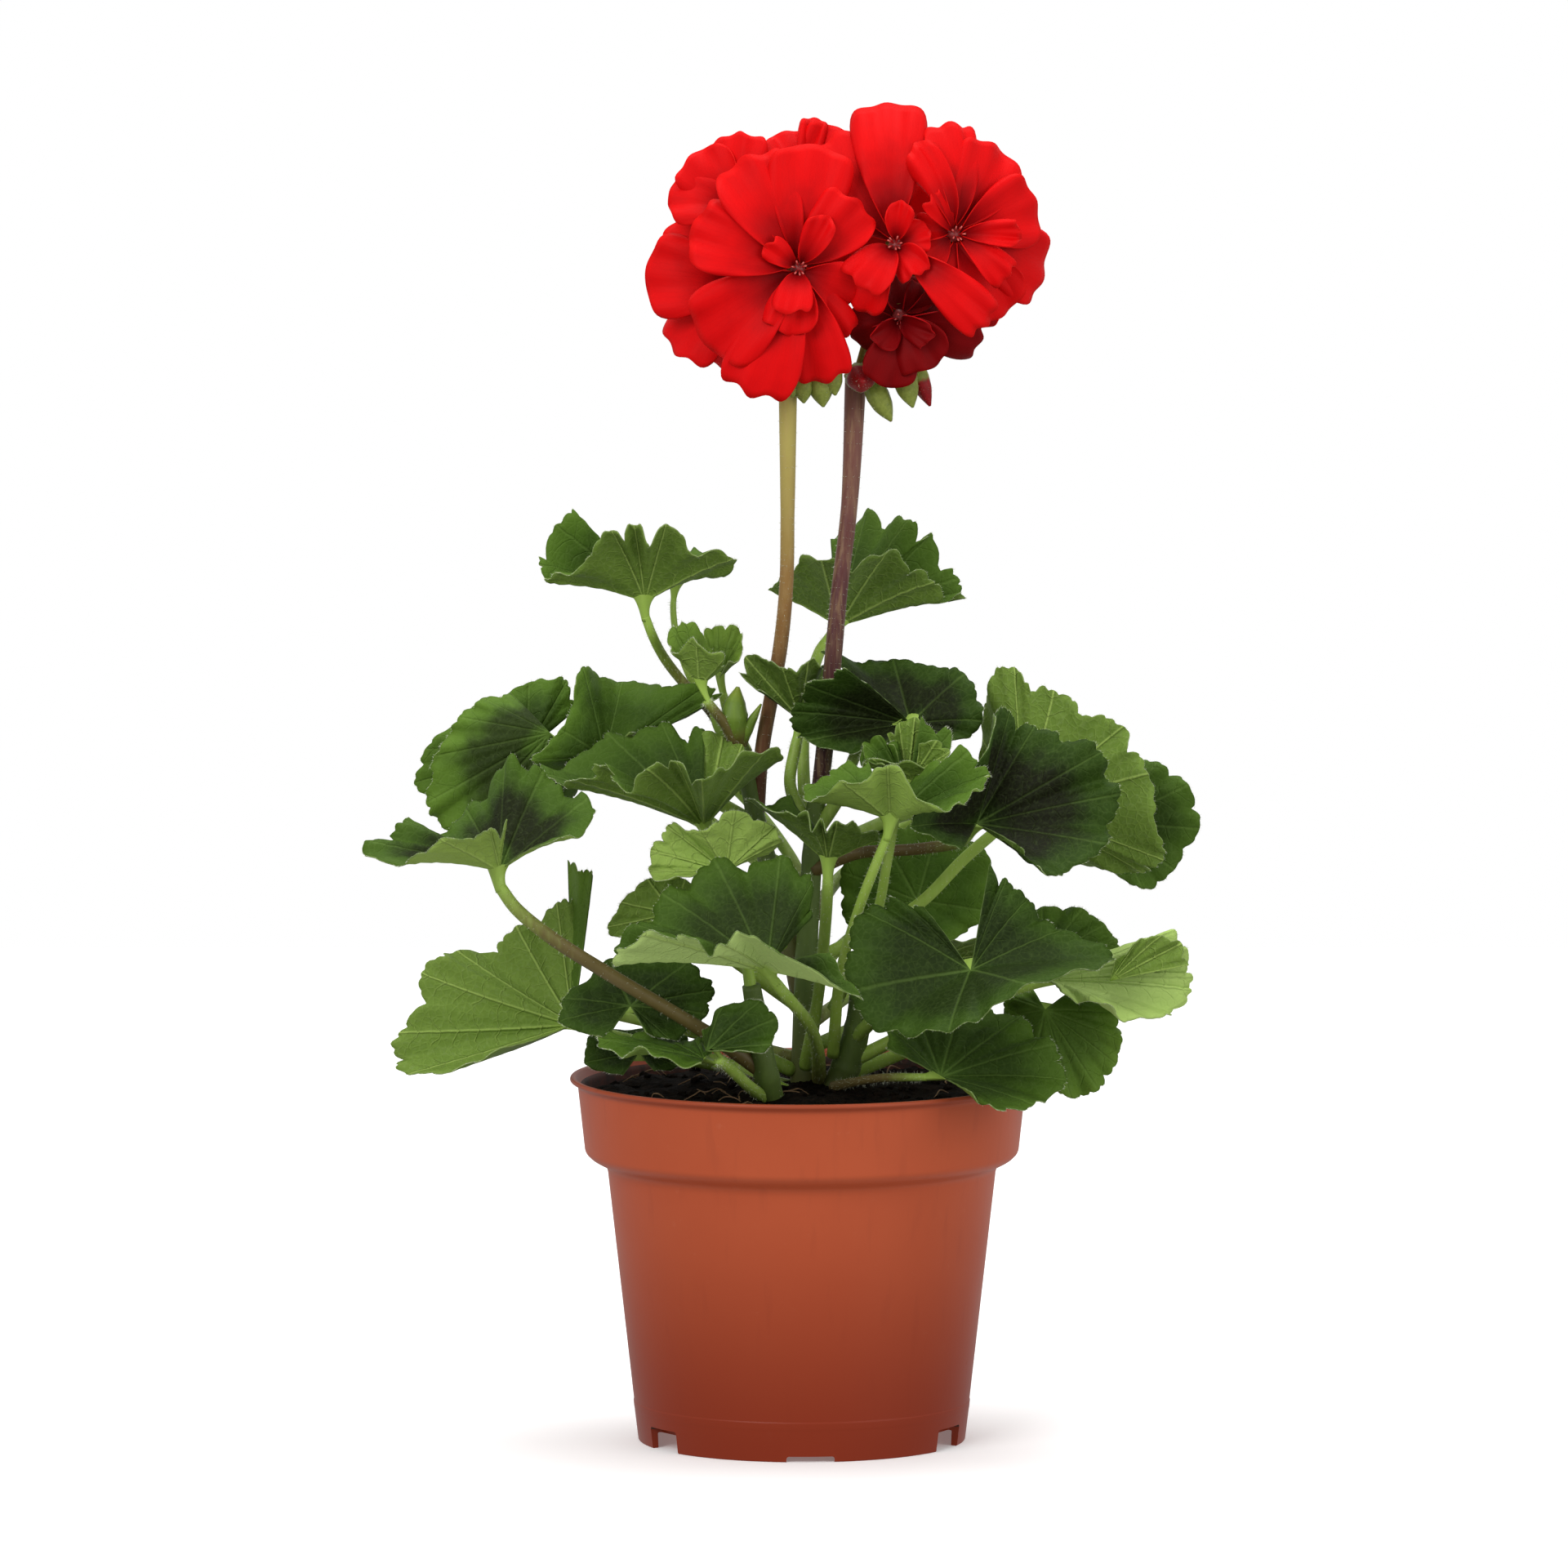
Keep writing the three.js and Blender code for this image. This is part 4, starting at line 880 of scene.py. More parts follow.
def stalk_hairs(points, radii, count, material, draw, longest=1.1):
    """Fine hairs that stand off a stalk."""
    steps = 60
    shares = np.sort([draw(0.03, 0.97) for _ in range(count)])
    centres = curve(points, np.linspace(0, 1, steps))
    ahead, first, second = tube_frames(centres)
    k = (shares * (steps - 1)).astype(int)
    angle = np.array([draw(0, 2 * math.pi) for _ in range(count)])[:, None]
    out = first[k] * np.cos(angle) + second[k] * np.sin(angle)
    radius = np.interp(shares, np.linspace(0, 1, len(radii)), radii)[:, None]
    roots = centres[k] + out * radius * 0.97
    lean = np.array([draw(-0.5, 0.5) for _ in range(count)])[:, None]
    lengths = [draw(0.45, 1) * longest for _ in range(count)]
    return hair_piece(roots, out + lean * ahead[k], lengths, material)


# The leaves. Each is laid out as it is seen from the front: across from the pot's axis and up, in
# millimetres. At is where the stalk meets the blade, with its depth behind the axis. Tips holds the
# corner beside the notch, the tip of each lobe in turn and the other corner, with the share of its
# depth that each leans away, and reach is how far from at the blade goes. Stalk holds the points that
# the stalk passes, and slim is its width. Tone says how light the leaf is and under how light its
# underside is, zone how dark the band on it is, and red how far up its stalk is brown. Frill says how
# far the clefts stand out of the blade, and folds are crumpled lobes in front of it. Young marks the
# young leaves, which nothing here reads.
# Tone and under are set leaf by leaf to how light each leaf and its underside look: in part their own colour
# and in part painted shade, darker on leaves that lie in shadow.
LEAVES = [
    dict(name="leaf_top_left", tone=0.41, under=0.45, zone=0.3, red=0.7, slim=0.85, frill=0.14,
         at=[-40.4, 217.5, 0], reach=29,
         tips=[[-48, 229, 0.8], [-57, 242, 0.8], [-67, 231, 0.2], [-64.5, 224.5, -0.4], [-51, 235, -1],
               [-41, 237, -1], [-29.5, 236.5, -0.8], [-17, 228.5, 0], [-28, 231, 0.8]],
         stalk=[[-15.5, 174, 6.5], [-19.5, 182, 9], [-23.5, 189, 11], [-30.5, 196.5, 13], [-35.5, 203, 9],
                [-38.6, 209, 3], [-40.4, 214, 1]]),
    dict(name="leaf_top_left_rear", tone=0.4, zone=0.2, slim=0.55, at=[-32.7, 222.5, 20], reach=16,
         tips=[[-28, 226, -0.6], [-19.3, 225.5, 0], [-21, 229, 0.6], [-33, 230, 0.9], [-45, 229, 0.4],
               [-44, 227, -0.4], [-37, 227, -0.6]],
         stalk=[[-15, 168, 8.5], [-20, 184, 17], [-29, 198, 20], [-32.5, 209, 21], [-33.3, 216, 21]]),
    dict(name="leaf_young_left", tone=0.66, under=0.7, red=0.75, slim=0.85, young=True,
         at=[-26.5, 195.5, -2], reach=16.5,
         tips=[[-22.5, 205, 0.6], [-27.5, 212, 0.7], [-33.3, 211, 0.4], [-33.3, 204.5, -0.3],
               [-28, 207.5, -0.9], [-20.5, 203, -0.6], [-20.5, 200, -0.1]],
         stalk=[[-16.3, 179, 4.5], [-20, 186, 0], [-24, 191, -2]]),
    dict(name="leaf_young_left_rear", tone=0.7, slim=0.85, young=True, at=[-21.5, 197.5, 13], reach=13.5,
         tips=[[-19, 202, -0.6], [-16.5, 202.5, -0.4], [-15.2, 207.5, 0.1], [-17, 211.3, 0.8],
               [-21.5, 211.3, 1], [-25, 210.5, 0.5], [-24.5, 205, 0]],
         stalk=[[-14.3, 178.5, 8.8], [-19, 189, 14]]),
    dict(name="leaf_top_right", tone=0.3, zone=0.2, at=[9.5, 211.5, 34], reach=33,
         tips=[[-8.5, 221, 0.3], [-1, 229.5, -0.4], [12, 229, -0.8], [26, 229.5, -0.7], [36, 222, -0.4],
               [42.5, 220, 0.2], [36, 231, 0.6], [28.5, 239.5, 0.7], [18, 240.5, 0.8], [7.5, 235, 0.7]],
         stalk=[[2, 156, 3], [0.5, 172, 9], [1, 190, 17], [4.5, 204.5, 27]]),
    dict(name="leaf_centre_dark", tone=0.06, zone=0.8, at=[28, 186, -2], reach=31,
         tips=[[17, 196, -0.5], [8.5, 200, -1], [-0.5, 193, -0.9], [-2.3, 183.5, -0.9], [10, 179, -0.6],
               [28, 180.5, -0.4], [44.5, 184, -0.4], [45.5, 194.5, -0.3], [36, 201.5, 0.3],
               [20, 202.5, 0.8], [5, 204.5, 0.9]],
         stalk=[[3, 157, -1], [10.5, 168.5, -3], [14, 178, -3], [20, 183.5, -3]]),
    dict(name="leaf_centre_left", tone=0.2, zone=0.2, at=[0, 186.5, 2], reach=20,
         tips=[[-9, 193.5, -0.3], [-15.8, 199, -0.2], [-11.5, 204.2, -0.2], [-4.5, 200.3, -0.9],
               [3, 202.5, -0.7], [7, 200, 0.2], [6, 193, 0.6]],
         stalk=[[1, 160, 0], [-3, 170, 0], [-1.8, 179, 1]]),
    dict(name="leaf_right_dark", tone=0.06, zone=1, red=0.8, at=[44.8, 160, -18], reach=36,
         tips=[[55, 154.5, -0.4], [64, 146.5, -0.8], [77.5, 154.5, -0.6], [81, 168.5, -0.3],
               [74, 181, -0.2], [58, 185.5, 0.5], [50.5, 190.5, 0.3], [46.5, 178, -0.3], [28, 161, -0.6],
               [41, 153.5, -0.6]],
         stalk=[[3, 148, -1], [14, 152.3, -4], [30, 153.5, -8], [41, 155.5, -13]]),
    dict(name="leaf_right_rear", tone=0.5, zone=0.1, frill=0.03, at=[57, 164, 8], reach=38,
         tips=[[46, 160, 0.5], [46.5, 180, 0.5], [50, 200, 0.5], [63, 195.5, 0.2], [80, 187, 0],
               [89, 174, -0.1], [93.8, 153, 0], [86, 147, 0.3], [68, 151, 0.5]],
         stalk=[[2.5, 124, 0.5], [14, 130, 0], [30, 139, 0], [42, 151, 2], [50, 158, 4]]),
    dict(name="leaf_right_far", tone=0.28, zone=0.3, frill=0.03, at=[80, 160, 24], reach=24,
         tips=[[74, 152, -0.3], [80, 147.5, -0.4], [90, 142.8, -0.2], [98, 150, 0], [103.5, 160.5, 0],
               [99.5, 171, 0], [91, 176.3, 0.3], [80, 177, 0.5], [72, 168, 0.5]],
         stalk=[[3, 152, 2], [30, 163, 22], [55, 163, 32], [72, 161, 33]]),
    dict(name="leaf_young_centre", tone=0.42, under=0.85, zone=0.15, slim=0.85, frill=0.03, young=True,
         at=[22.5, 161, -36], reach=25,
         tips=[[17, 175.5, 0.4], [7.5, 174, 0.4], [0.3, 167.5, 0], [10, 170, -0.9], [22, 175, -0.8],
               [35, 164, -0.9], [43.5, 168, -0.5], [48, 173, 0], [40, 178.7, 0.2], [29, 172, 0.5]],
         stalk=[[8, 100, -7], [10, 122, -21], [14.5, 138, -29], [19, 150, -34], [21.8, 157, -36]]),
    dict(name="leaf_young_centre_top", tone=0.34, under=0.55, zone=0.1, slim=0.85, frill=0.1, young=True,
         at=[27, 170, -19], reach=17,
         folds=[dict(at=[27, 170, -17], reach=17, tips=[[22, 183, 0.4], [25, 186, 0.5], [29, 187.5, 0.6],
                [32.5, 185, 0.5], [31.5, 181, 0.3]]), dict(at=[25.5, 172, -20], reach=13,
                tips=[[24, 180, -0.3], [19.5, 183, -0.2], [15.5, 180.5, -0.3], [16.5, 177, -0.5],
                [21, 175, -0.6]]), dict(at=[29, 173, -20], reach=12, tips=[[30, 180.5, -0.3],
                [34.5, 181.5, -0.4], [38, 178.5, -0.4], [36, 175, -0.6]])],
         tips=[[24.5, 182, 0.3], [18, 180.5, 0], [15, 177, -0.3], [23, 177, -0.5], [34.5, 175, -0.5],
               [38.3, 183.3, -0.2], [30.5, 187, -0.2]],
         stalk=[[8, 112, -6], [19, 136, -16], [21.8, 150, -22], [24, 162, -21]]),
    dict(name="leaf_mid_fold", tone=0.25, zone=0.2, at=[6.6, 150, -24], reach=26,
         tips=[[-3, 165.8, 0.6], [-14, 167.3, 0], [-2, 163.5, -0.8], [5, 160, -0.8], [13, 160.5, -0.8],
               [20.5, 156.3, 0], [12, 160, 0.6]],
         stalk=[[1, 97, -1.5], [3, 108, -9], [4.5, 118, -14], [6, 134, -20], [6.6, 144, -24]]),
    dict(name="leaf_light_small", tone=1.1, under=1.15, slim=0.85, young=True, at=[-19.5, 148, -24],
         reach=20,
         tips=[[-28, 146.8, -0.5], [-38, 146, -0.2], [-38.7, 153, 0], [-33.5, 160, 0], [-26, 158, -0.6],
               [-18, 163.7, -0.5], [-8, 160, -0.3], [-5.3, 155, 0], [-11, 151.5, 0.5]],
         stalk=[[-13, 117, -33], [-15, 130, -30], [-17.5, 141, -26]]),
    dict(name="leaf_left_cup", tone=0.26, under=0.44, zone=0.3, at=[-25, 159, -14], reach=41,
         folds=[dict(at=[-25, 159, -14], reach=41, tips=[[-29, 183.5, 0.4], [-21.6, 183, 0.45],
                [-16, 180.5, 0.4], [-12.5, 177.5, 0.3]])],
         tips=[[-25, 183.5, 0.4], [-38, 186, 0.5], [-52, 181, 0.5], [-67, 173, 0], [-60, 172, -0.8],
               [-51, 176, -0.8], [-46, 171.5, -0.9], [-34.5, 178, -0.9], [-26, 172.5, -0.9],
               [-17, 177.5, -0.8], [-5, 179.5, -0.3], [-13, 177, 0.3]],
         stalk=[[-4, 128, 4], [-14, 140, -4], [-22, 152, -11]]),
    dict(name="leaf_left_folded", tone=0.4, zone=0.3, at=[-51, 177, 4], reach=34,
         tips=[[-45, 183, -0.1], [-33, 186.5, 0], [-20.5, 194, 0], [-32, 196.7, 0], [-47, 197, 0.6],
               [-56.7, 200.5, 0.2], [-61, 186, -0.2], [-69.5, 176.5, -0.4], [-60, 173.5, 0]],
         stalk=[[-12, 160, 8], [-30, 170, 12], [-42, 174, 9]]),
    dict(name="leaf_left_disc", tone=0.56, zone=0.85, frill=0.02, at=[-65, 183.5, 4], reach=35,
         tips=[[-75, 193.8, 0.3], [-84, 191.8, 0.2], [-91, 184.5, 0.1], [-96, 173.5, 0], [-95.7, 161.5, 0],
               [-85, 156, 0], [-73, 154, 0.1], [-62, 160, 0.3], [-57, 172, 0.5]],
         stalk=[[-7, 150, 8], [-30, 162.5, 20], [-50, 173, 20], [-59, 179, 12]]),
    dict(name="leaf_left_rear", tone=0.4, zone=0.4, frill=0.02, at=[-71, 179, 18], reach=30,
         tips=[[-58, 190, 0.2], [-62.5, 198.3, 0.3], [-74, 195.5, 0.3], [-86, 190, 0.1], [-97, 180, 0],
               [-100, 170, 0], [-93, 162, 0], [-80, 157, 0], [-68, 163, 0.1]],
         stalk=[[-6, 146, 8], [-28, 163, 30], [-50, 174, 32], [-63, 178, 26]]),
    dict(name="leaf_left_low", tone=0.26, under=0.86, zone=1, red=0.85, slim=1.15, at=[-77, 148, -42],
         reach=34,
         tips=[[-66, 155.5, -0.5], [-53, 163, 0], [-62, 170, 0.6], [-73.5, 176.5, 0.8], [-84, 166, 0.7],
               [-94, 157.5, 0.5], [-102.5, 161, 0.3], [-112, 153, 0], [-97, 153.5, -0.8], [-83, 159, -0.8],
               [-74.5, 160, -0.7]],
         stalk=[[-9.5, 96, -29.5], [-20, 103.5, -34], [-31, 110.5, -38], [-50, 122, -43], [-64, 131, -45],
                [-73, 138.5, -44], [-77, 144, -43]]),
    dict(name="leaf_low_left_light", tone=0.61, frill=0.02, at=[-59, 108, -8], reach=47,
         tips=[[-76, 102, -0.5], [-93, 95.5, -0.3], [-106.5, 98.5, 0], [-100, 112.5, 0], [-95.5, 125.5, 0],
               [-82, 128, 0.3], [-70, 134.5, 0.4], [-60, 141, 0.4], [-54, 146.5, 0.3], [-60.5, 150, 0.9]],
         stalk=[[-3, 90, -4], [-20, 98, -10], [-44, 104, -12]]),
    dict(name="leaf_low_left_dark", tone=0.14, zone=0.25, at=[-44, 113, -26], reach=21,
         tips=[[-40, 106.5, -0.5], [-32, 105, -0.5], [-23.5, 112.5, -0.2], [-24, 121, 0], [-34, 125.5, 0.4],
               [-50, 124, 0.4], [-60.5, 116, 0.2], [-61.5, 108.5, -0.2], [-50, 105, -0.5]],
         stalk=[[-2.5, 96, -0.5], [-20, 104.5, -8], [-36, 109, -20]]),
    dict(name="leaf_low_rim_left", tone=0.4, zone=0.1, red=0.8, slim=0.75, at=[-25, 99.5, -40], reach=27,
         tips=[[-22, 101.5, 0.3], [-30, 104.5, 0.5], [-42, 106, 0.6], [-51.5, 105.5, 0.2],
               [-50, 102.5, -0.3], [-38, 101, -0.8], [-26, 97.5, -0.6]],
         stalk=[[-9.5, 92, -25], [-16, 95, -31], [-21, 98, -36]]),
    dict(name="leaf_low_small", tone=0.2, zone=0.2, at=[-24.3, 101.8, -48], reach=19,
         tips=[[-18, 102, -0.4], [-9, 102.5, -0.3], [-6.3, 109.5, 0], [-11, 115, 0], [-19.5, 113.8, 0.2],
               [-24.3, 108, 0.5], [-25.5, 104.5, 0.4]],
         stalk=[[-8, 88, -22], [-14, 93, -38], [-20, 99, -46]]),
    dict(name="leaf_front_centre", tone=0.22, under=1.5, zone=0.6, red=0.3, at=[-9, 122.5, -52], reach=38,
         tips=[[2.5, 136, 0.3], [1.5, 149, 0.4], [-13, 151.5, 0.6], [-30, 147.5, 0.5], [-41, 136, 0.2],
               [-49.5, 125.5, 0], [-34, 134, -0.7], [-22, 128.5, -0.8], [-11, 133.5, -0.8],
               [14.5, 116, -0.5], [7, 128, -0.2]],
         stalk=[[4.5, 93.5, -3], [4, 102, -18], [1.5, 109, -34], [-4, 116, -46]]),
    dict(name="leaf_grey_behind", tone=0.55, zone=0.1, at=[-33, 137, -16], reach=17,
         tips=[[-38, 130, -0.4], [-49.5, 131.5, 0], [-47, 139, 0], [-40, 145.5, 0], [-31, 146, 0.4],
               [-24, 140, 0.5], [-28, 132, 0.5]],
         stalk=[[0, 112, 2], [-14, 122, -8], [-26, 131, -16]]),
    dict(name="leaf_front_right", tone=0.12, zone=0.35, at=[43, 122.5, -44], reach=36,
         tips=[[31, 139, 0.1], [20, 140.7, 0.3], [10.5, 129, 0.1], [17, 108.3, -0.4], [38, 107.3, -0.8],
               [56, 118, -0.8], [80, 126.5, -0.1], [65, 133.5, 0.3], [56, 143, 0.3], [48, 148.3, 0.2]],
         stalk=[[13, 104, -6], [24, 114, -22], [36, 119, -38]]),
    dict(name="leaf_right_low", tone=1.3, under=1.5, frill=0.06, at=[63, 119.5, -22], reach=36,
         folds=[dict(at=[79, 119.5, -25], reach=21, tone=0.55, under=0.6, tips=[[80, 124, -0.1],
                [85, 129.5, -0.2], [91, 131.5, -0.3], [97, 129.5, -0.35], [99, 123.5, -0.4]])],
         tips=[[66, 116.8, -0.5], [77, 115, -0.6], [87, 110, -0.4], [98, 114.5, -0.1], [100, 121, 0],
               [97.5, 129, 0.1], [91, 132, 0.3], [81, 126, 0.5], [64, 123.5, 0.4]],
         stalk=[[12, 98, -4], [36, 110, -12], [54, 117, -18]]),
    dict(name="leaf_right_mid", tone=0.3, zone=0.3, at=[62, 124, 18], reach=20,
         tips=[[68, 121, -0.3], [82, 126, 0], [79.5, 132.5, 0], [73, 137.5, 0.2], [63, 138, 0.4],
               [53, 134, 0.5], [52, 124, 0.5]],
         stalk=[[3, 102, 2.5], [16, 108, 9], [34, 116, 16], [54, 121, 22]]),
    dict(name="leaf_low_right", tone=0.3, zone=0.35, red=0.8, slim=0.75, frill=0.03, at=[35.5, 95, -38],
         reach=34,
         tips=[[42.5, 90.8, -0.5], [50, 87.5, -0.8], [59, 88.3, -0.6], [67, 93.5, -0.2], [64.5, 103, 0],
               [56, 110, 0.3], [44, 114, 0.5], [32, 113, 0.6], [23, 108, 0.5], [21.8, 101.5, 0.2]],
         stalk=[[8, 92, -14], [20, 94.5, -28]]),
    dict(name="leaf_low_right_rear", tone=0.6, zone=0.15, at=[62.5, 112, -18], reach=26,
         tips=[[59, 118, 0.3], [52, 114.5, 0.3], [53.5, 107, 0.2], [59.5, 99, -0.2], [67, 90, -0.3],
               [75, 90.5, -0.2], [80.5, 97.5, 0], [82.2, 105, 0], [79.5, 112.5, 0.2], [71, 118, 0.4]],
         stalk=[[10, 94, 2], [36, 104, 4], [54, 109, -6]]),
    dict(name="leaf_back_light", tone=0.5, at=[30, 140, 12], reach=24,
         tips=[[36, 128, -0.2], [48, 136, 0], [48.7, 151, 0], [38, 158, 0.3], [24, 159.5, 0.3],
               [12, 152, 0.2], [10, 140, 0], [14, 130, 0], [24, 126, -0.2]],
         stalk=[[2, 118, 4], [10, 128, 14], [22, 137, 18]]),
    dict(name="leaf_low_left_shade", tone=0.1, zone=0.2, slim=0.75, at=[-42, 100.5, -6], reach=14,
         tips=[[-38, 95.5, -0.3], [-31, 98, 0], [-30, 105, 0.3], [-41, 107, 0.4], [-54, 105.5, 0.1],
               [-55.5, 97.5, 0], [-46, 95, -0.4]],
         stalk=[[-3, 92, 4], [-18, 96, 2], [-34, 99, -2]]),
    dict(name="leaf_back_upper_left", tone=0.38, zone=0.5, red=0.3, at=[-28, 177, 40], reach=22,
         tips=[[-23, 181, -0.7], [-14, 180, -0.4], [-13, 174, 0.6], [-18, 168, 0.9], [-28, 165, 1],
               [-39, 167, 0.9], [-47, 173, 0.5], [-46, 180, -0.2], [-35, 182, -0.7]],
         stalk=[[2, 141, 2], [-4, 153, 15], [-16, 168, 30]]),
    dict(name="leaf_back_upper_right", tone=0.34, zone=0.6, red=0.3, at=[60, 171, 42], reach=21,
         tips=[[64, 177, -0.6], [75, 177, -0.4], [81, 171, 0.1], [77, 163, 0.7], [66, 158, 1],
               [54, 159, 0.9], [48, 166, 0.5], [48, 175, -0.3], [56, 178, -0.6]],
         stalk=[[3, 136, 3], [10, 146, 22], [28, 160, 34], [46, 168, 39]]),
    dict(name="leaf_back_low_right", tone=0.4, zone=0.5, red=0.3, at=[34, 124, 42], reach=24,
         tips=[[38, 130, -0.6], [50, 130, -0.4], [57, 124, 0.2], [53, 115, 0.8], [40, 110.5, 1],
               [26, 112, 0.9], [14.5, 119, 0.4], [16, 129, -0.3], [28, 131, -0.6]],
         stalk=[[2, 108, 4], [14, 116, 22], [26, 121, 36]]),
    dict(name="leaf_back_middle", tone=0.3, zone=0.5, red=0.3, at=[-16, 139, 34], reach=17,
         tips=[[-12, 143, -0.6], [-3, 141, 0], [-3, 134, 0.7], [-15, 130, 1], [-28, 133, 0.8],
               [-31, 141, 0.2], [-21, 144, -0.6]],
         stalk=[[-3, 124, 6], [-9, 131, 18], [-14, 136, 28]]),
    dict(name="leaf_back_low_left", tone=0.5, zone=0.2, red=0.3, at=[-76, 114, 24], reach=19,
         tips=[[-71, 118, -0.6], [-62, 116, -0.1], [-62, 109, 0.6], [-74, 105, 1], [-88, 107, 0.8],
               [-93, 115, 0.2], [-81, 119, -0.6]],
         stalk=[[-1.5, 99, 3.5], [-30, 106, 14], [-58, 112, 24]]),
]


def leaf_form(leaf, seed):
    """The blade's surface, as a function of how far out and how far around a place lies, with its
    number of columns and the way that it faces."""
    at = seen(leaf["at"])
    reach = leaf["reach"]
    under = leaf.get("under", leaf["tone"])
    tips = np.asarray(leaf["tips"], float)
    flat = tips[:, :2] - leaf["at"][:2]
    room = np.maximum(reach**2 - (flat**2).sum(axis=1), 0)
    depth = tips[:, 2] * np.sqrt(room)
    rim = np.stack([flat[:, 0], depth, flat[:, 1] - VIEW_SLOPE * depth], axis=1)
    normal = unit(np.cross(rim[:-1], rim[1:]).sum(axis=0))
    spans = len(rim) - 1
    arcs = np.linalg.norm(np.diff(rim, axis=0), axis=1)
    columns = np.maximum(np.rint(arcs / MARGIN_STEP), 8)
    knots = np.append(0, np.cumsum(columns))
    crowns = np.maximum(np.rint(arcs / TOOTH_WIDTH), 1)
    margin = np.append(0, np.cumsum(arcs))
    draw = draws(seed)
    ruffles = np.array([draw(-1, 1) for _ in range(2 * len(rim))])
    teeth = np.array([draw(0.3, 1.4) for _ in range(int(crowns.sum()) + 2)])
    first = np.append(0, np.cumsum(crowns))
    phase = draw(0, 6)

    def form(out, around):
        x = np.interp(around * knots[-1], knots, np.arange(spans + 1))
        lobe = np.cos(2 * math.pi * x)
        k = np.minimum((2 * x).astype(int), 2 * spans - 1)
        w = smooth(2 * x - k)
        ruffle = ruffles[k] * (1 - w) + ruffles[k + 1] * w
        cleft = np.sin(math.pi * x) ** 4
        frill = -leaf.get("frill", FRILL) * cleft
        rise = BOW * out * (1 - out) + (frill + RUFFLE * ruffle) * out**2
        span = np.minimum(x.astype(int), spans - 1)
        crown = first[span] + crowns[span] * (x - span)
        tooth = np.abs(np.cos(math.pi * crown)) ** TOOTH_ROUNDING
        bite = TOOTH_DEPTH * teeth[np.rint(crown).astype(int)] * (tooth - TOOTH_LEVEL)
        away = np.abs(x - np.rint(x)) * arcs[span] * out
        edge = curve(rim, around, even=True)
        far = np.linalg.norm(edge, axis=1) * out
        fold = np.exp(-((away / VEIN_WIDTH) ** 2)) * smooth(np.clip(out * 4, 0, 1)) * (1 - 0.7 * out)
        pucker = (1 - np.abs(lobe)) * out * (1 - out) * 2
        curl = np.sin(2 * math.pi * np.interp(x, np.arange(spans + 1), margin) / CURL_LENGTH + phase)
        curl = curl * (0.6 + 0.4 * ruffle) * out**6
        relief = -VEIN_FOLD * fold + PUCKER * pucker + CURL * curl
        relief = relief + QUILT * np.sin(far * 1.3 + 7 * x) * out
        size = out * (1 - CLEFT_DEPTH * cleft**2 * teeth[np.rint(x).astype(int)] + bite * out**9)
        places = edge * size[:, None] + (reach * rise + relief)[:, None] * normal + at
        marks = dict(out=out, vein=away, reach=far)
        return places, dict(marks, tone=leaf["tone"], under=under, zone=leaf.get("zone", 0))

    return form, int(knots[-1]), normal


def margin_hairs(form, normal, count, material, draw):
    """The fringe of fine hairs on a leaf's margin."""
    around = np.array([draw(0.004, 0.996) for _ in range(count)])
    rim, _ = form(np.ones(count), around)
    inner, _ = form(np.full(count, 0.94), around)
    ways = unit(rim - inner)
    lift = np.array([draw(-0.5, 0.5) for _ in range(count)])[:, None]
    lengths = [draw(0.35, 0.9) for _ in range(count)]
    return hair_piece(rim - 0.1 * ways, ways + lift * normal, lengths, material)


def funnel_piece(form, points, radius, material, **marks):
    """The stalk's upper end, which spreads out into the blade. Returns it and the stalk that is left."""
    line = curve(points, np.linspace(0, 1, 300))
    left = np.linalg.norm(line - line[-1], axis=1)
    start = np.flatnonzero(left > FUNNEL)[-1]
    root = line[start]
    way = unit(line[start + 1] - line[start - 1])
    sides, rows = 20, 8
    around = np.append(np.linspace(0.02, 0.98, sides), 0.02)
    rim, _ = form(np.full(sides + 1, FUNNEL_SHARE), around)
    across = np.linalg.norm(rim - points[-1], axis=1)
    rim, _ = form(FUNNEL_SHARE * FUNNEL_RADIUS / across, around)
    flat = rim - points[-1]
    flat = unit(flat - way * flat.dot(way)[:, None])
    if np.cross(flat[:-1], flat[1:]).dot(way).sum() > 0:
        rim, flat = rim[::-1], flat[::-1]
    low = root - 1.2 * way + 0.96 * radius * flat
    middle = low + way * (0.7 * (rim - low).dot(way))[:, None]

    def wall(along, ring):
        k = np.rint(ring * sides).astype(int)
        w = np.clip((along * (rows + 2) - 1) / rows, 0, 1)[:, None]
        places = (1 - w) ** 2 * low[k] + 2 * w * (1 - w) * middle[k] + w * w * rim[k]
        places = np.where((along < 0.01)[:, None], root - way, places)
        return np.where((along > 0.99)[:, None], points[-1], places), dict(marks, along=1)

    stalk = [p for p in points[:-1] if np.linalg.norm(p - points[-1]) > FUNNEL + 1]
    return grid_piece("funnel", rows + 2, sides, wall, [material]), np.array([*stalk, root])


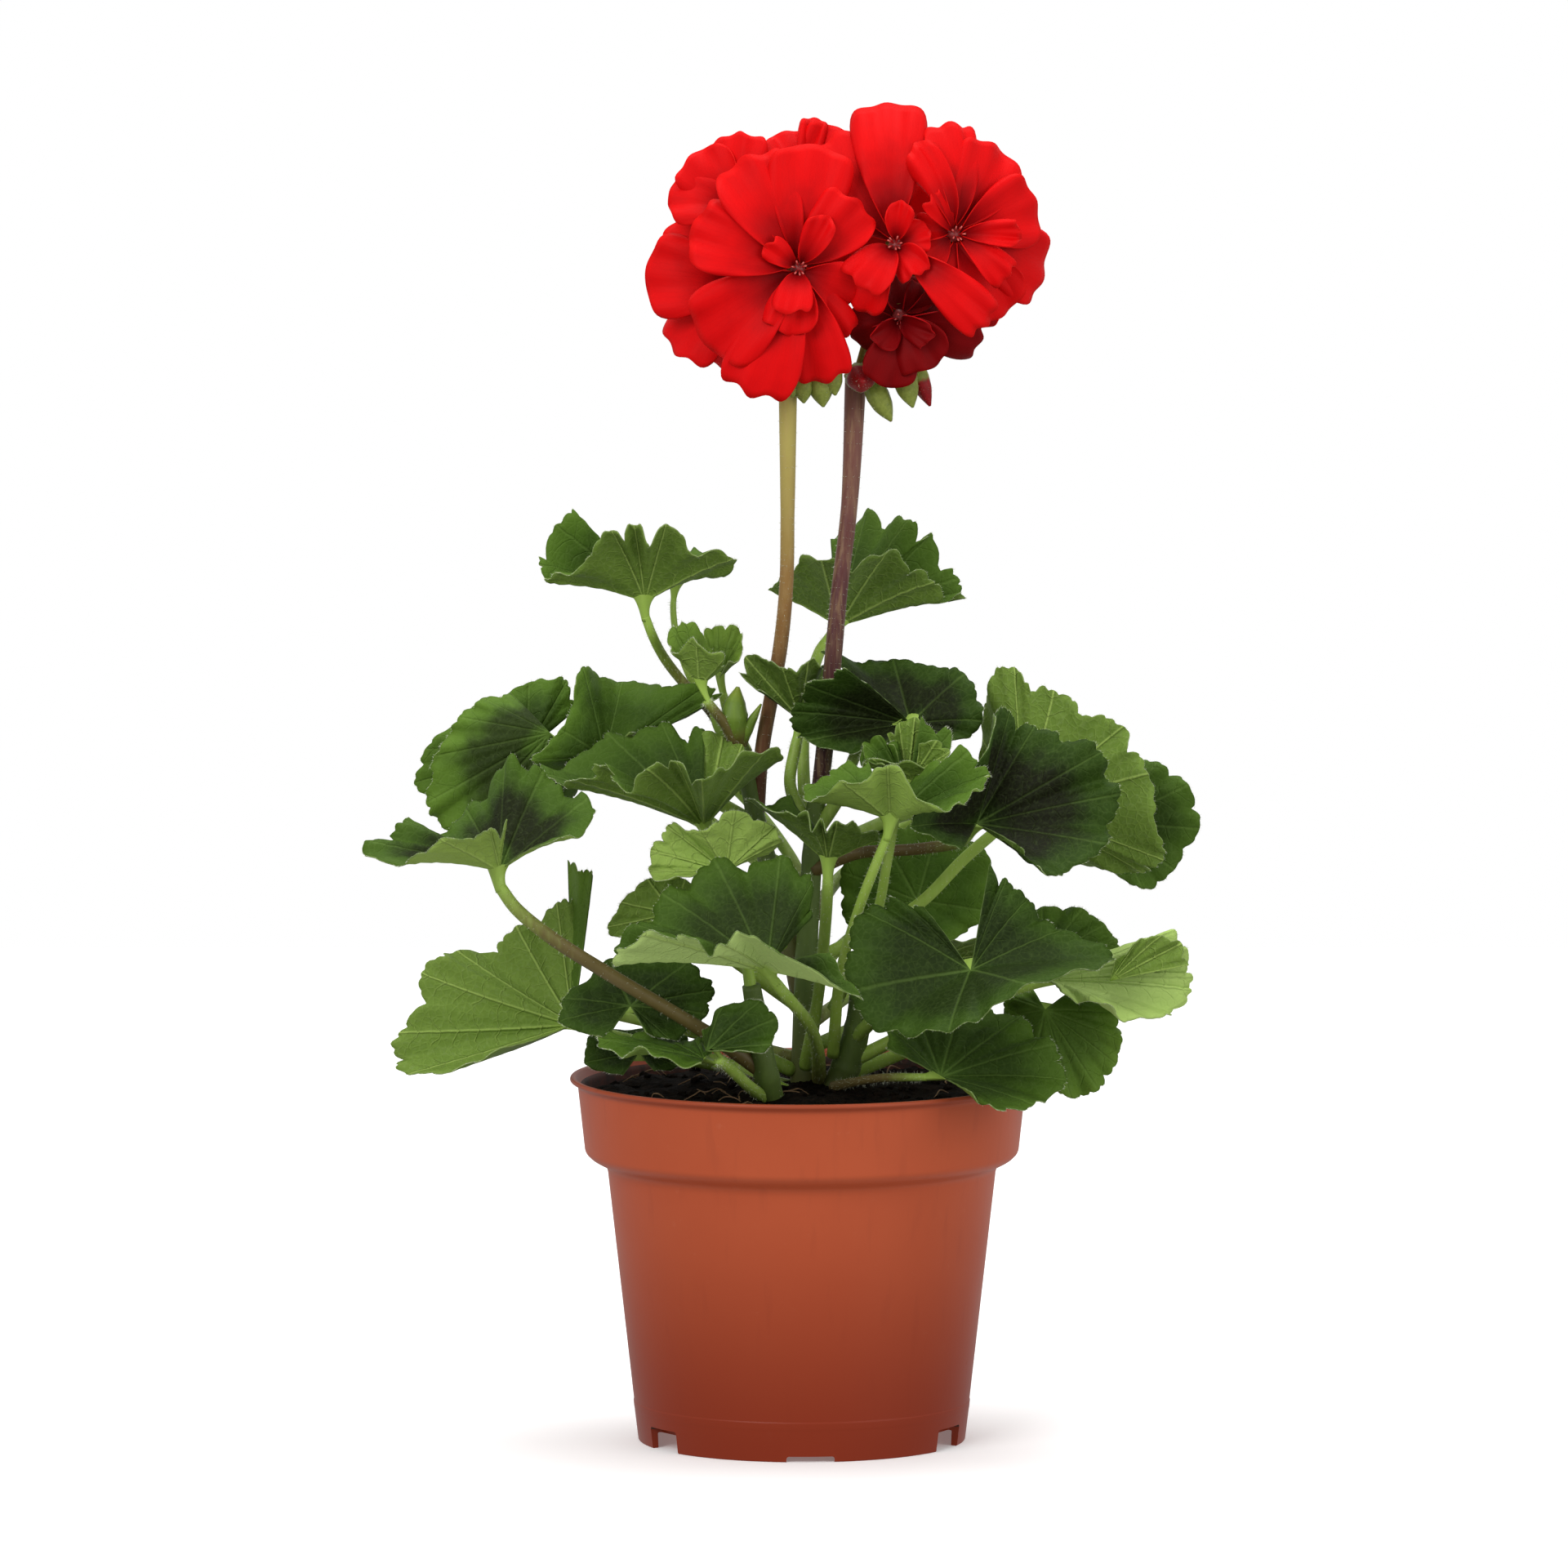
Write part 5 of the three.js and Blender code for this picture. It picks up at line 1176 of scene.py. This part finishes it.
def leaf_piece(leaf, seed, finishes):
    """A leaf: its blade, with any crumpled lobes, and its stalk with its hairs."""
    upper, under, rim, stalk, hairs = finishes
    name = leaf["name"]
    rear = "rear_" if name.startswith("leaf_back") else ""
    form, columns, normal = leaf_form(leaf, seed)
    blade = grid_piece("blade", 14 if rear else 18, columns, form, [upper, under, rim])
    thickened(blade, BLADE_THICKNESS)
    points = seen([*leaf["stalk"], leaf["at"]])
    r = STALK_RADIUS * leaf.get("slim", 1)
    radii = [r * 1.25, r, r, r * 0.88]
    # Tone, which is in part painted shade, passes from the leaf to its stalk.
    marks = dict(tone=min(leaf["tone"] + 0.45, 1), red=leaf.get("red", 0))
    draw = draws(seed + STALK_SEED)
    funnel, points = funnel_piece(form, points, radii[-1], stalk, **marks)
    pieces = [
        blade,
        funnel,
        tube_piece("stalk", points, radii, 12, 12 * len(points), stalk, **marks),
        stalk_hairs(points, radii, HAIRS[rear + "stalk"], hairs, draw),
        margin_hairs(form, normal, HAIRS[rear + "margin"], hairs, draw),
    ]
    for k, fold in enumerate(leaf.get("folds", [])):
        crumple, columns, _ = leaf_form(dict(leaf, **fold), seed + FOLD_SEED + k)
        sheet = grid_piece("fold", 12, columns, crumple, [upper, under, rim])
        pieces.append(thickened(sheet, BLADE_THICKNESS))
    kept(joined(pieces, name + "_blade"), name)


# The two flower heads. Each floret is laid out as it is seen from the front: its heart, the way that it
# faces and its petals with their tips and widths. Shade says how dark it is painted: painted shade, for
# a floret that lies in the shadow of the others. Each bud has its neck and its tip, and how far down it
# is red.
HEADS = [
    dict(name="left", radius=1.9,
         stalk=[[-11.5, 162.7, 7], [-10.3, 178.8, 8], [-5.6, 205.5, 5], [-4, 222.1, 1], [-3.7, 239.8, -2],
                [-3.6, 272.5, -5]],
         florets=[
             dict(name="front", at=[-1, 303, -13], face=[5, 5],
                  petals=[[-25, 284, -15, 28], [-13, 270.5, -17, 23], [-28, 313, -18, 22],
                          [-15, 331, -14, 25], [3, 334.5, -12, 26], [14.5, 320, -14, 21], [13, 295, -9, 22],
                          [6, 274, -13, 17], [-4, 286, -20, 17]]),
             dict(name="side", at=[-16, 300, 1], face=[-30, 5],
                  petals=[[-40, 302, 0, 29], [-32, 281.5, 1, 25], [-34, 314, 6, 20], [-20, 277.5, 6, 18]]),
             dict(name="upper", at=[-16, 318, 4], face=[-25, 30],
                  petals=[[-34, 322.5, 2, 22], [-28, 333, 6, 21], [-16, 338.5, 7, 19]]),
             dict(name="top", at=[0, 322, 9], face=[5, 45],
                  petals=[[-5, 339, 12, 17], [3.5, 342.5, 11, 8], [10, 339.5, 8, 18], [13, 328, 15, 16],
                          [-8, 330, 24, 20]]),
             dict(name="rear", at=[-12, 300, 16], face=[-170, 5],
                  petals=[[-31, 306, 26, 21], [-19, 324, 28, 21], [2, 316, 28, 21], [1, 291, 26, 21],
                          [-18, 279, 24, 21]]),
         ],
         buds=[
             dict(at=[[0, 277, -6], [0.5, 268.5, -9]], radius=3),
             dict(at=[[4.5, 277, -6], [5.5, 267.5, -8]], radius=3.3),
             dict(at=[[7, 279, -6], [8.6, 270.5, -9]], radius=2.9),
             dict(at=[[-1.5, 278, -6], [-2.5, 270, -9]], radius=2.5),
         ]),
    dict(name="right", radius=2.25,
         stalk=[[4.7, 168.9, -1], [6.1, 181.7, -3], [8.2, 204.6, -4], [9.6, 219.8, -2], [12.2, 242.2, 2],
                [13.9, 276, 6]],
         florets=[
             dict(name="front", at=[39, 312, -2], face=[20, 10],
                  petals=[[37.5, 340.5, 1, 17], [29, 335, -8, 11], [50, 335, 4, 24], [60.5, 320, 4, 24],
                          [62.5, 302, 8, 24], [52, 291.5, 0, 21], [40, 295.5, -1, 17], [28, 303, -6, 14]]),
             dict(name="middle", at=[24, 309, -7], face=[-5, 15],
                  petals=[[14, 298.5, -17, 17], [22, 346, 4, 22], [9, 338, 2, 20], [13, 322, 3, 17],
                          [47.5, 289, -11, 14]]),
             dict(name="low", at=[25, 291, -3], face=[10, -15], shade=0.8,
                  petals=[[13, 286, -1, 20], [15.5, 295, 1, 16], [21, 273, -9, 18], [33, 277.5, -9, 22],
                          [46, 285.5, -2, 18], [38, 296, 5, 18], [23, 301.5, 3, 20]]),
             dict(name="rear", at=[42, 306, 20], face=[150, 10],
                  petals=[[59, 309, 28, 26], [50, 330, 30, 26], [32, 328, 32, 25], [27, 308, 31, 25],
                          [44, 289, 26, 27]]),
             dict(name="back", at=[26, 316, 20], face=[195, 40],
                  petals=[[14, 317, 28, 22], [22, 336, 22, 20], [17, 301, 28, 20]]),
         ],
         buds=[
             dict(at=[[17.5, 275, 2], [23, 264, -1]], radius=3, red=0.06),
             dict(at=[[25.5, 279, 0], [28.5, 267.5, -3]], radius=3.2),
             dict(at=[[28.5, 280, 3], [33, 268, 2]], radius=2.6, red=0.6),
             dict(at=[[15, 276, 0.5], [15.2, 274, -9]], radius=3.9, red=0.55),
         ]),
]


# Small petals that stand up round the hearts, in front of the others.
INNER_PETALS = {
    "left_front": [[-3, 291, -24, 12], [6, 316, -19, 9], [-9, 309, -20, 8], [12, 308, -8, 12],
                   [11, 286, -8, 12]],
    "right_front": [[53, 301, -8, 10], [56, 312, -7, 8], [33, 322, -11, 9], [28, 314, -4, 9]],
    "right_middle": [[30, 301, -15, 12], [26, 320, -12, 8], [33, 312, -9, 13], [14.5, 292.5, -8, 14]],
    "right_low": [[33, 285, -13, 9], [19, 284, -12, 9], [31, 299, 0, 13]],
}


def petal_form(floret, petal, draw):
    """A petal's surface, fanned out from the heart of its floret."""
    heart = seen(floret["at"])
    reach = seen(petal[:3]) - heart
    length = np.linalg.norm(reach) - CLAW
    tip = unit(reach)
    side = unit(np.cross(facing(*floret["face"]), tip))
    normal = np.cross(tip, side)
    spread = math.atan(petal[3] / 2 / (0.8 * length))
    bulge = draw(*BULGE) * length
    cup = draw(*CUP)
    ruffle = draw(*RIPPLE)
    waves = draw(3, 5)
    phase = draw(0, 6)

    def form(out, around):
        turn = 2 * around - 1
        angle = turn * spread * (1 + SHOULDER * (1 - out))
        edge = 1 - TIP_ROUNDING * turn**4 + TIP_WAVE * np.cos(3 * math.pi * turn)
        edge = edge + 0.01 * np.sin(11 * turn + phase) * out**4 - 0.05 * np.abs(turn) ** 9
        distance = length * out * edge
        lift = 4 * bulge * out * (1 - out) + cup * out * turn**2
        lift = lift + TILT * distance * np.sin(angle)
        lift = lift + ruffle * out**2 * np.sin(waves * turn + phase)
        lift = lift + CRINKLE * out**4 * np.sin(2.7 * waves * turn - phase) + RIB * np.sin(21 * turn) * out
        places = heart + (CLAW + distance * np.cos(angle))[:, None] * tip
        places = places + (distance * np.sin(angle))[:, None] * side + lift[:, None] * normal
        return places, dict(out=out, turn=turn, shade=floret.get("shade", 0))

    return form


def floret_piece(head, floret, seed, finishes):
    """A floret: its petals, its heart and its stamens."""
    petal_skin, rim, heart_skin, stamen = finishes
    place = f"{head['name']}_{floret['name']}"
    heart = seen(floret["at"])
    normal = facing(*floret["face"])
    first = unit(np.cross(normal, [0.2, 0.3, 0.9]))
    second = np.cross(normal, first)
    draw = draws(seed)
    pieces = []
    for petal in [*floret["petals"], *INNER_PETALS.get(place, [])]:
        columns, rows = (16, 30) if petal[3] > 12 else (12, 20)
        form = petal_form(floret, petal, draw)
        sheet = grid_piece("petal", columns, rows, form, [petal_skin, petal_skin, rim])
        pieces.append(thickened(sheet, PETAL_THICKNESS))

    def ball(along, around):
        fall, angle = along * math.pi, -around * 2 * math.pi
        wide = HEART_RADIUS * np.sin(fall) * (1 + 0.08 * np.sin(5 * angle))
        out = first * np.cos(angle)[:, None] + second * np.sin(angle)[:, None]
        return heart + out * wide[:, None] - normal * (HEART_RADIUS * np.cos(fall))[:, None], {}

    pieces.append(grid_piece("heart", 8, 14, ball, [heart_skin]))
    for k in range(STAMENS):
        angle = 2 * math.pi * k / STAMENS + draw(-0.3, 0.3)
        way = first * math.cos(angle) + second * math.sin(angle)
        long = draw(2.8, 4.4)
        points = [heart + normal, heart + normal * long * 0.6 + way * 0.8, heart + normal * long + way * 1.9]
        pieces.append(tube_piece("stamen", points, [0.16, 0.13, 0.13, 0.3, 0.2], 5, 8, stamen))
    kept(joined(pieces, f"floret_{place}_petals"), f"floret_{place}")


def head_stalk_piece(head, seed, finishes):
    """What is green of a head: its stalk, the knob at its end, the floret stalks and the buds."""
    def ribs(share, angle):
        return 1 + 0.05 * np.sin(5 * angle)

    stalk_skin, calyx_skin, bud_skin, hairs = finishes
    draw = draws(seed)
    r = head["radius"]
    stalk = seen(head["stalk"])
    root = stalk[-1]
    radii = [r, r, r, r * 0.95, r * 0.95, r * 1.25]
    knob = [root - [0, 0, 1.5 * r], root, root + [0, 0, 1.5 * r]]
    knob_radii = [0.4, 1.1 * r, 1.4 * r, 1.1 * r, 0.4]
    pieces = [
        tube_piece("stalk", stalk, radii, 18, 80, stalk_skin),
        stalk_hairs(stalk, radii, HAIRS["flower_stalk"], hairs, draw, 0.9),
        tube_piece("knob", knob, knob_radii, 14, 16, calyx_skin, red=0.1),
    ]
    pedicel_radii = [0.9, 0.8, 0.8, 0.9, 3]
    for floret in head["florets"]:
        normal = facing(*floret["face"])
        back = seen(floret["at"]) - HEART_RADIUS * normal
        calyx = back - 7 * normal
        line = [root, (root + calyx) / 2 + [0, 0, 3], calyx, back]
        pieces.append(tube_piece("pedicel", line, pedicel_radii, 10, 30, calyx_skin, red=0.15))
        pieces.append(stalk_hairs(line, pedicel_radii, HAIRS["pedicel"], hairs, draw, 0.6))
    for bud in head["buds"]:
        neck, tip = seen(bud["at"])
        full = bud["radius"]
        line = [root, (root + neck) / 2 + [0, 0, 2], neck]
        pieces.append(tube_piece("bud_stalk", line, [0.8, 0.8, 0.9], 8, 16, calyx_skin, red=0))
        line = [neck, neck * 0.7 + tip * 0.3, neck * 0.3 + tip * 0.7, tip]
        wide = [0.9, 0.92 * full, full, 0.86 * full, 0.52 * full, 0.3]
        pieces.append(tube_piece("bud", line, wide, 20, 22, bud_skin, ribs, red=bud.get("red", 0)))
        pieces.append(stalk_hairs(line, wide, HAIRS["bud"], hairs, draw, 0.6))
    name = f"flower_stalk_{head['name']}"
    kept(joined(pieces, name + "_skin"), name)


# Everything is made here.
hair_skin = hair_finish()
pot_piece()
peat = soil_finish()
kept(joined([soil_piece(peat), *crumb_pieces(peat, fibre_finish())], "soil_top"), "soil")
stems_piece(hair_skin)
leaf_skins = (leaf_finish(), leaf_under_finish(), leaf_rim_finish(), leaf_stalk_finish(), hair_skin)
for k, leaf in enumerate(LEAVES):
    leaf_piece(leaf, k + 1, leaf_skins)
petal_skins = (petal_finish(), petal_rim_finish(), heart_finish(), stamen_finish())
calyx_skin, bud_skin = pedicel_finish(), bud_finish()
stalk_skins = [
    flower_stalk_finish("left_flower_stalk", colour(170, 156, 84), colour(142, 104, 58), colour(92, 56, 38)),
    flower_stalk_finish("right_flower_stalk", colour(112, 70, 60), colour(74, 34, 36), colour(50, 24, 26)),
]
for k, head in enumerate(HEADS):
    head_stalk_piece(head, HEAD_SEED + k, (stalk_skins[k], calyx_skin, bud_skin, hair_skin))
    for n, floret in enumerate(head["florets"]):
        floret_piece(head, floret, FLORET_SEEDS[k] + n, petal_skins)

# The floor, the light and the camera.
FLOOR_SIZE = 2.2
bpy.ops.mesh.primitive_plane_add(size=FLOOR_SIZE)
floor = bpy.context.object
floor.name = "floor"
white = Finish("floor_white", gloss=0)
paper = white.mix(white.noise(900), (0.93, 0.93, 0.93, 1), (0.95, 0.95, 0.95, 1))
floor.data.materials.append(white.surface(paper, 0.9))
white.shader.inputs["Emission Color"].default_value = (1, 1, 1, 1)
white.shader.inputs["Emission Strength"].default_value = 0.14
floor.visible_diffuse = False
floor.visible_glossy = False
floor.select_set(False)


def soft_light(name, place, size, power):
    """A square soft light that points at the plant."""
    aim = (0, 0, 0.17)
    data = bpy.data.lights.new(name, "AREA")
    data.size = size
    data.energy = power
    lamp = bpy.data.objects.new(name, data)
    lamp.location = place
    lamp.rotation_euler = (Vector(aim) - Vector(place)).to_track_quat("-Z", "Y").to_euler()
    bpy.context.collection.objects.link(lamp)


soft_light("key", (-1.1, -1.8, 1.3), 1.2, 26)
soft_light("fill", (1.7, -1.4, 0.6), 1.4, 14)
soft_light("top", (0.1, 0.2, 1.9), 1.4, 20)

# The surroundings: white to the camera, and a soft light, stronger from above, to all else.
world = bpy.data.worlds.new("surroundings")
bpy.context.scene.world = world
world.use_nodes = True
nodes, links = world.node_tree.nodes, world.node_tree.links
sky = nodes["Background"]
sky.inputs["Color"].default_value = (1, 1, 1, 1)
where = nodes.new("ShaderNodeTexCoord")
parts = nodes.new("ShaderNodeSeparateXYZ")
rise = nodes.new("ShaderNodeMapRange")
for end, value in {"From Min": -0.3, "From Max": 0.4, "To Min": 0.55, "To Max": 0.7}.items():
    rise.inputs[end].default_value = value
ray = nodes.new("ShaderNodeLightPath")
level = nodes.new("ShaderNodeMapRange")
links.new(where.outputs["Generated"], parts.inputs[0])
links.new(parts.outputs["Z"], rise.inputs["Value"])
links.new(rise.outputs["Result"], level.inputs["To Min"])
links.new(ray.outputs["Is Camera Ray"], level.inputs["Value"])
links.new(level.outputs["Result"], sky.inputs["Strength"])

CAMERA = Vector((-4.6, -3600, 545)) * MM
AIM = Vector((-4.6, 0, 170.3)) * MM
FOCAL_TO_DISTANCE = 4.75
IMAGE_WIDTH = 1920
SENSOR = 36
lens = bpy.data.cameras.new("camera")
lens.sensor_width = SENSOR
lens.lens = FOCAL_TO_DISTANCE * (AIM - CAMERA).length / MM / IMAGE_WIDTH * SENSOR
lens.clip_end = 100
camera = bpy.data.objects.new("camera", lens)
camera.location = CAMERA
camera.rotation_euler = (AIM - CAMERA).to_track_quat("-Z", "Y").to_euler()
bpy.context.collection.objects.link(camera)
bpy.context.scene.camera = camera
bpy.context.scene.view_settings.view_transform = "Standard"

bpy.ops.object.select_all(action="DESELECT")
bpy.context.view_layer.update()
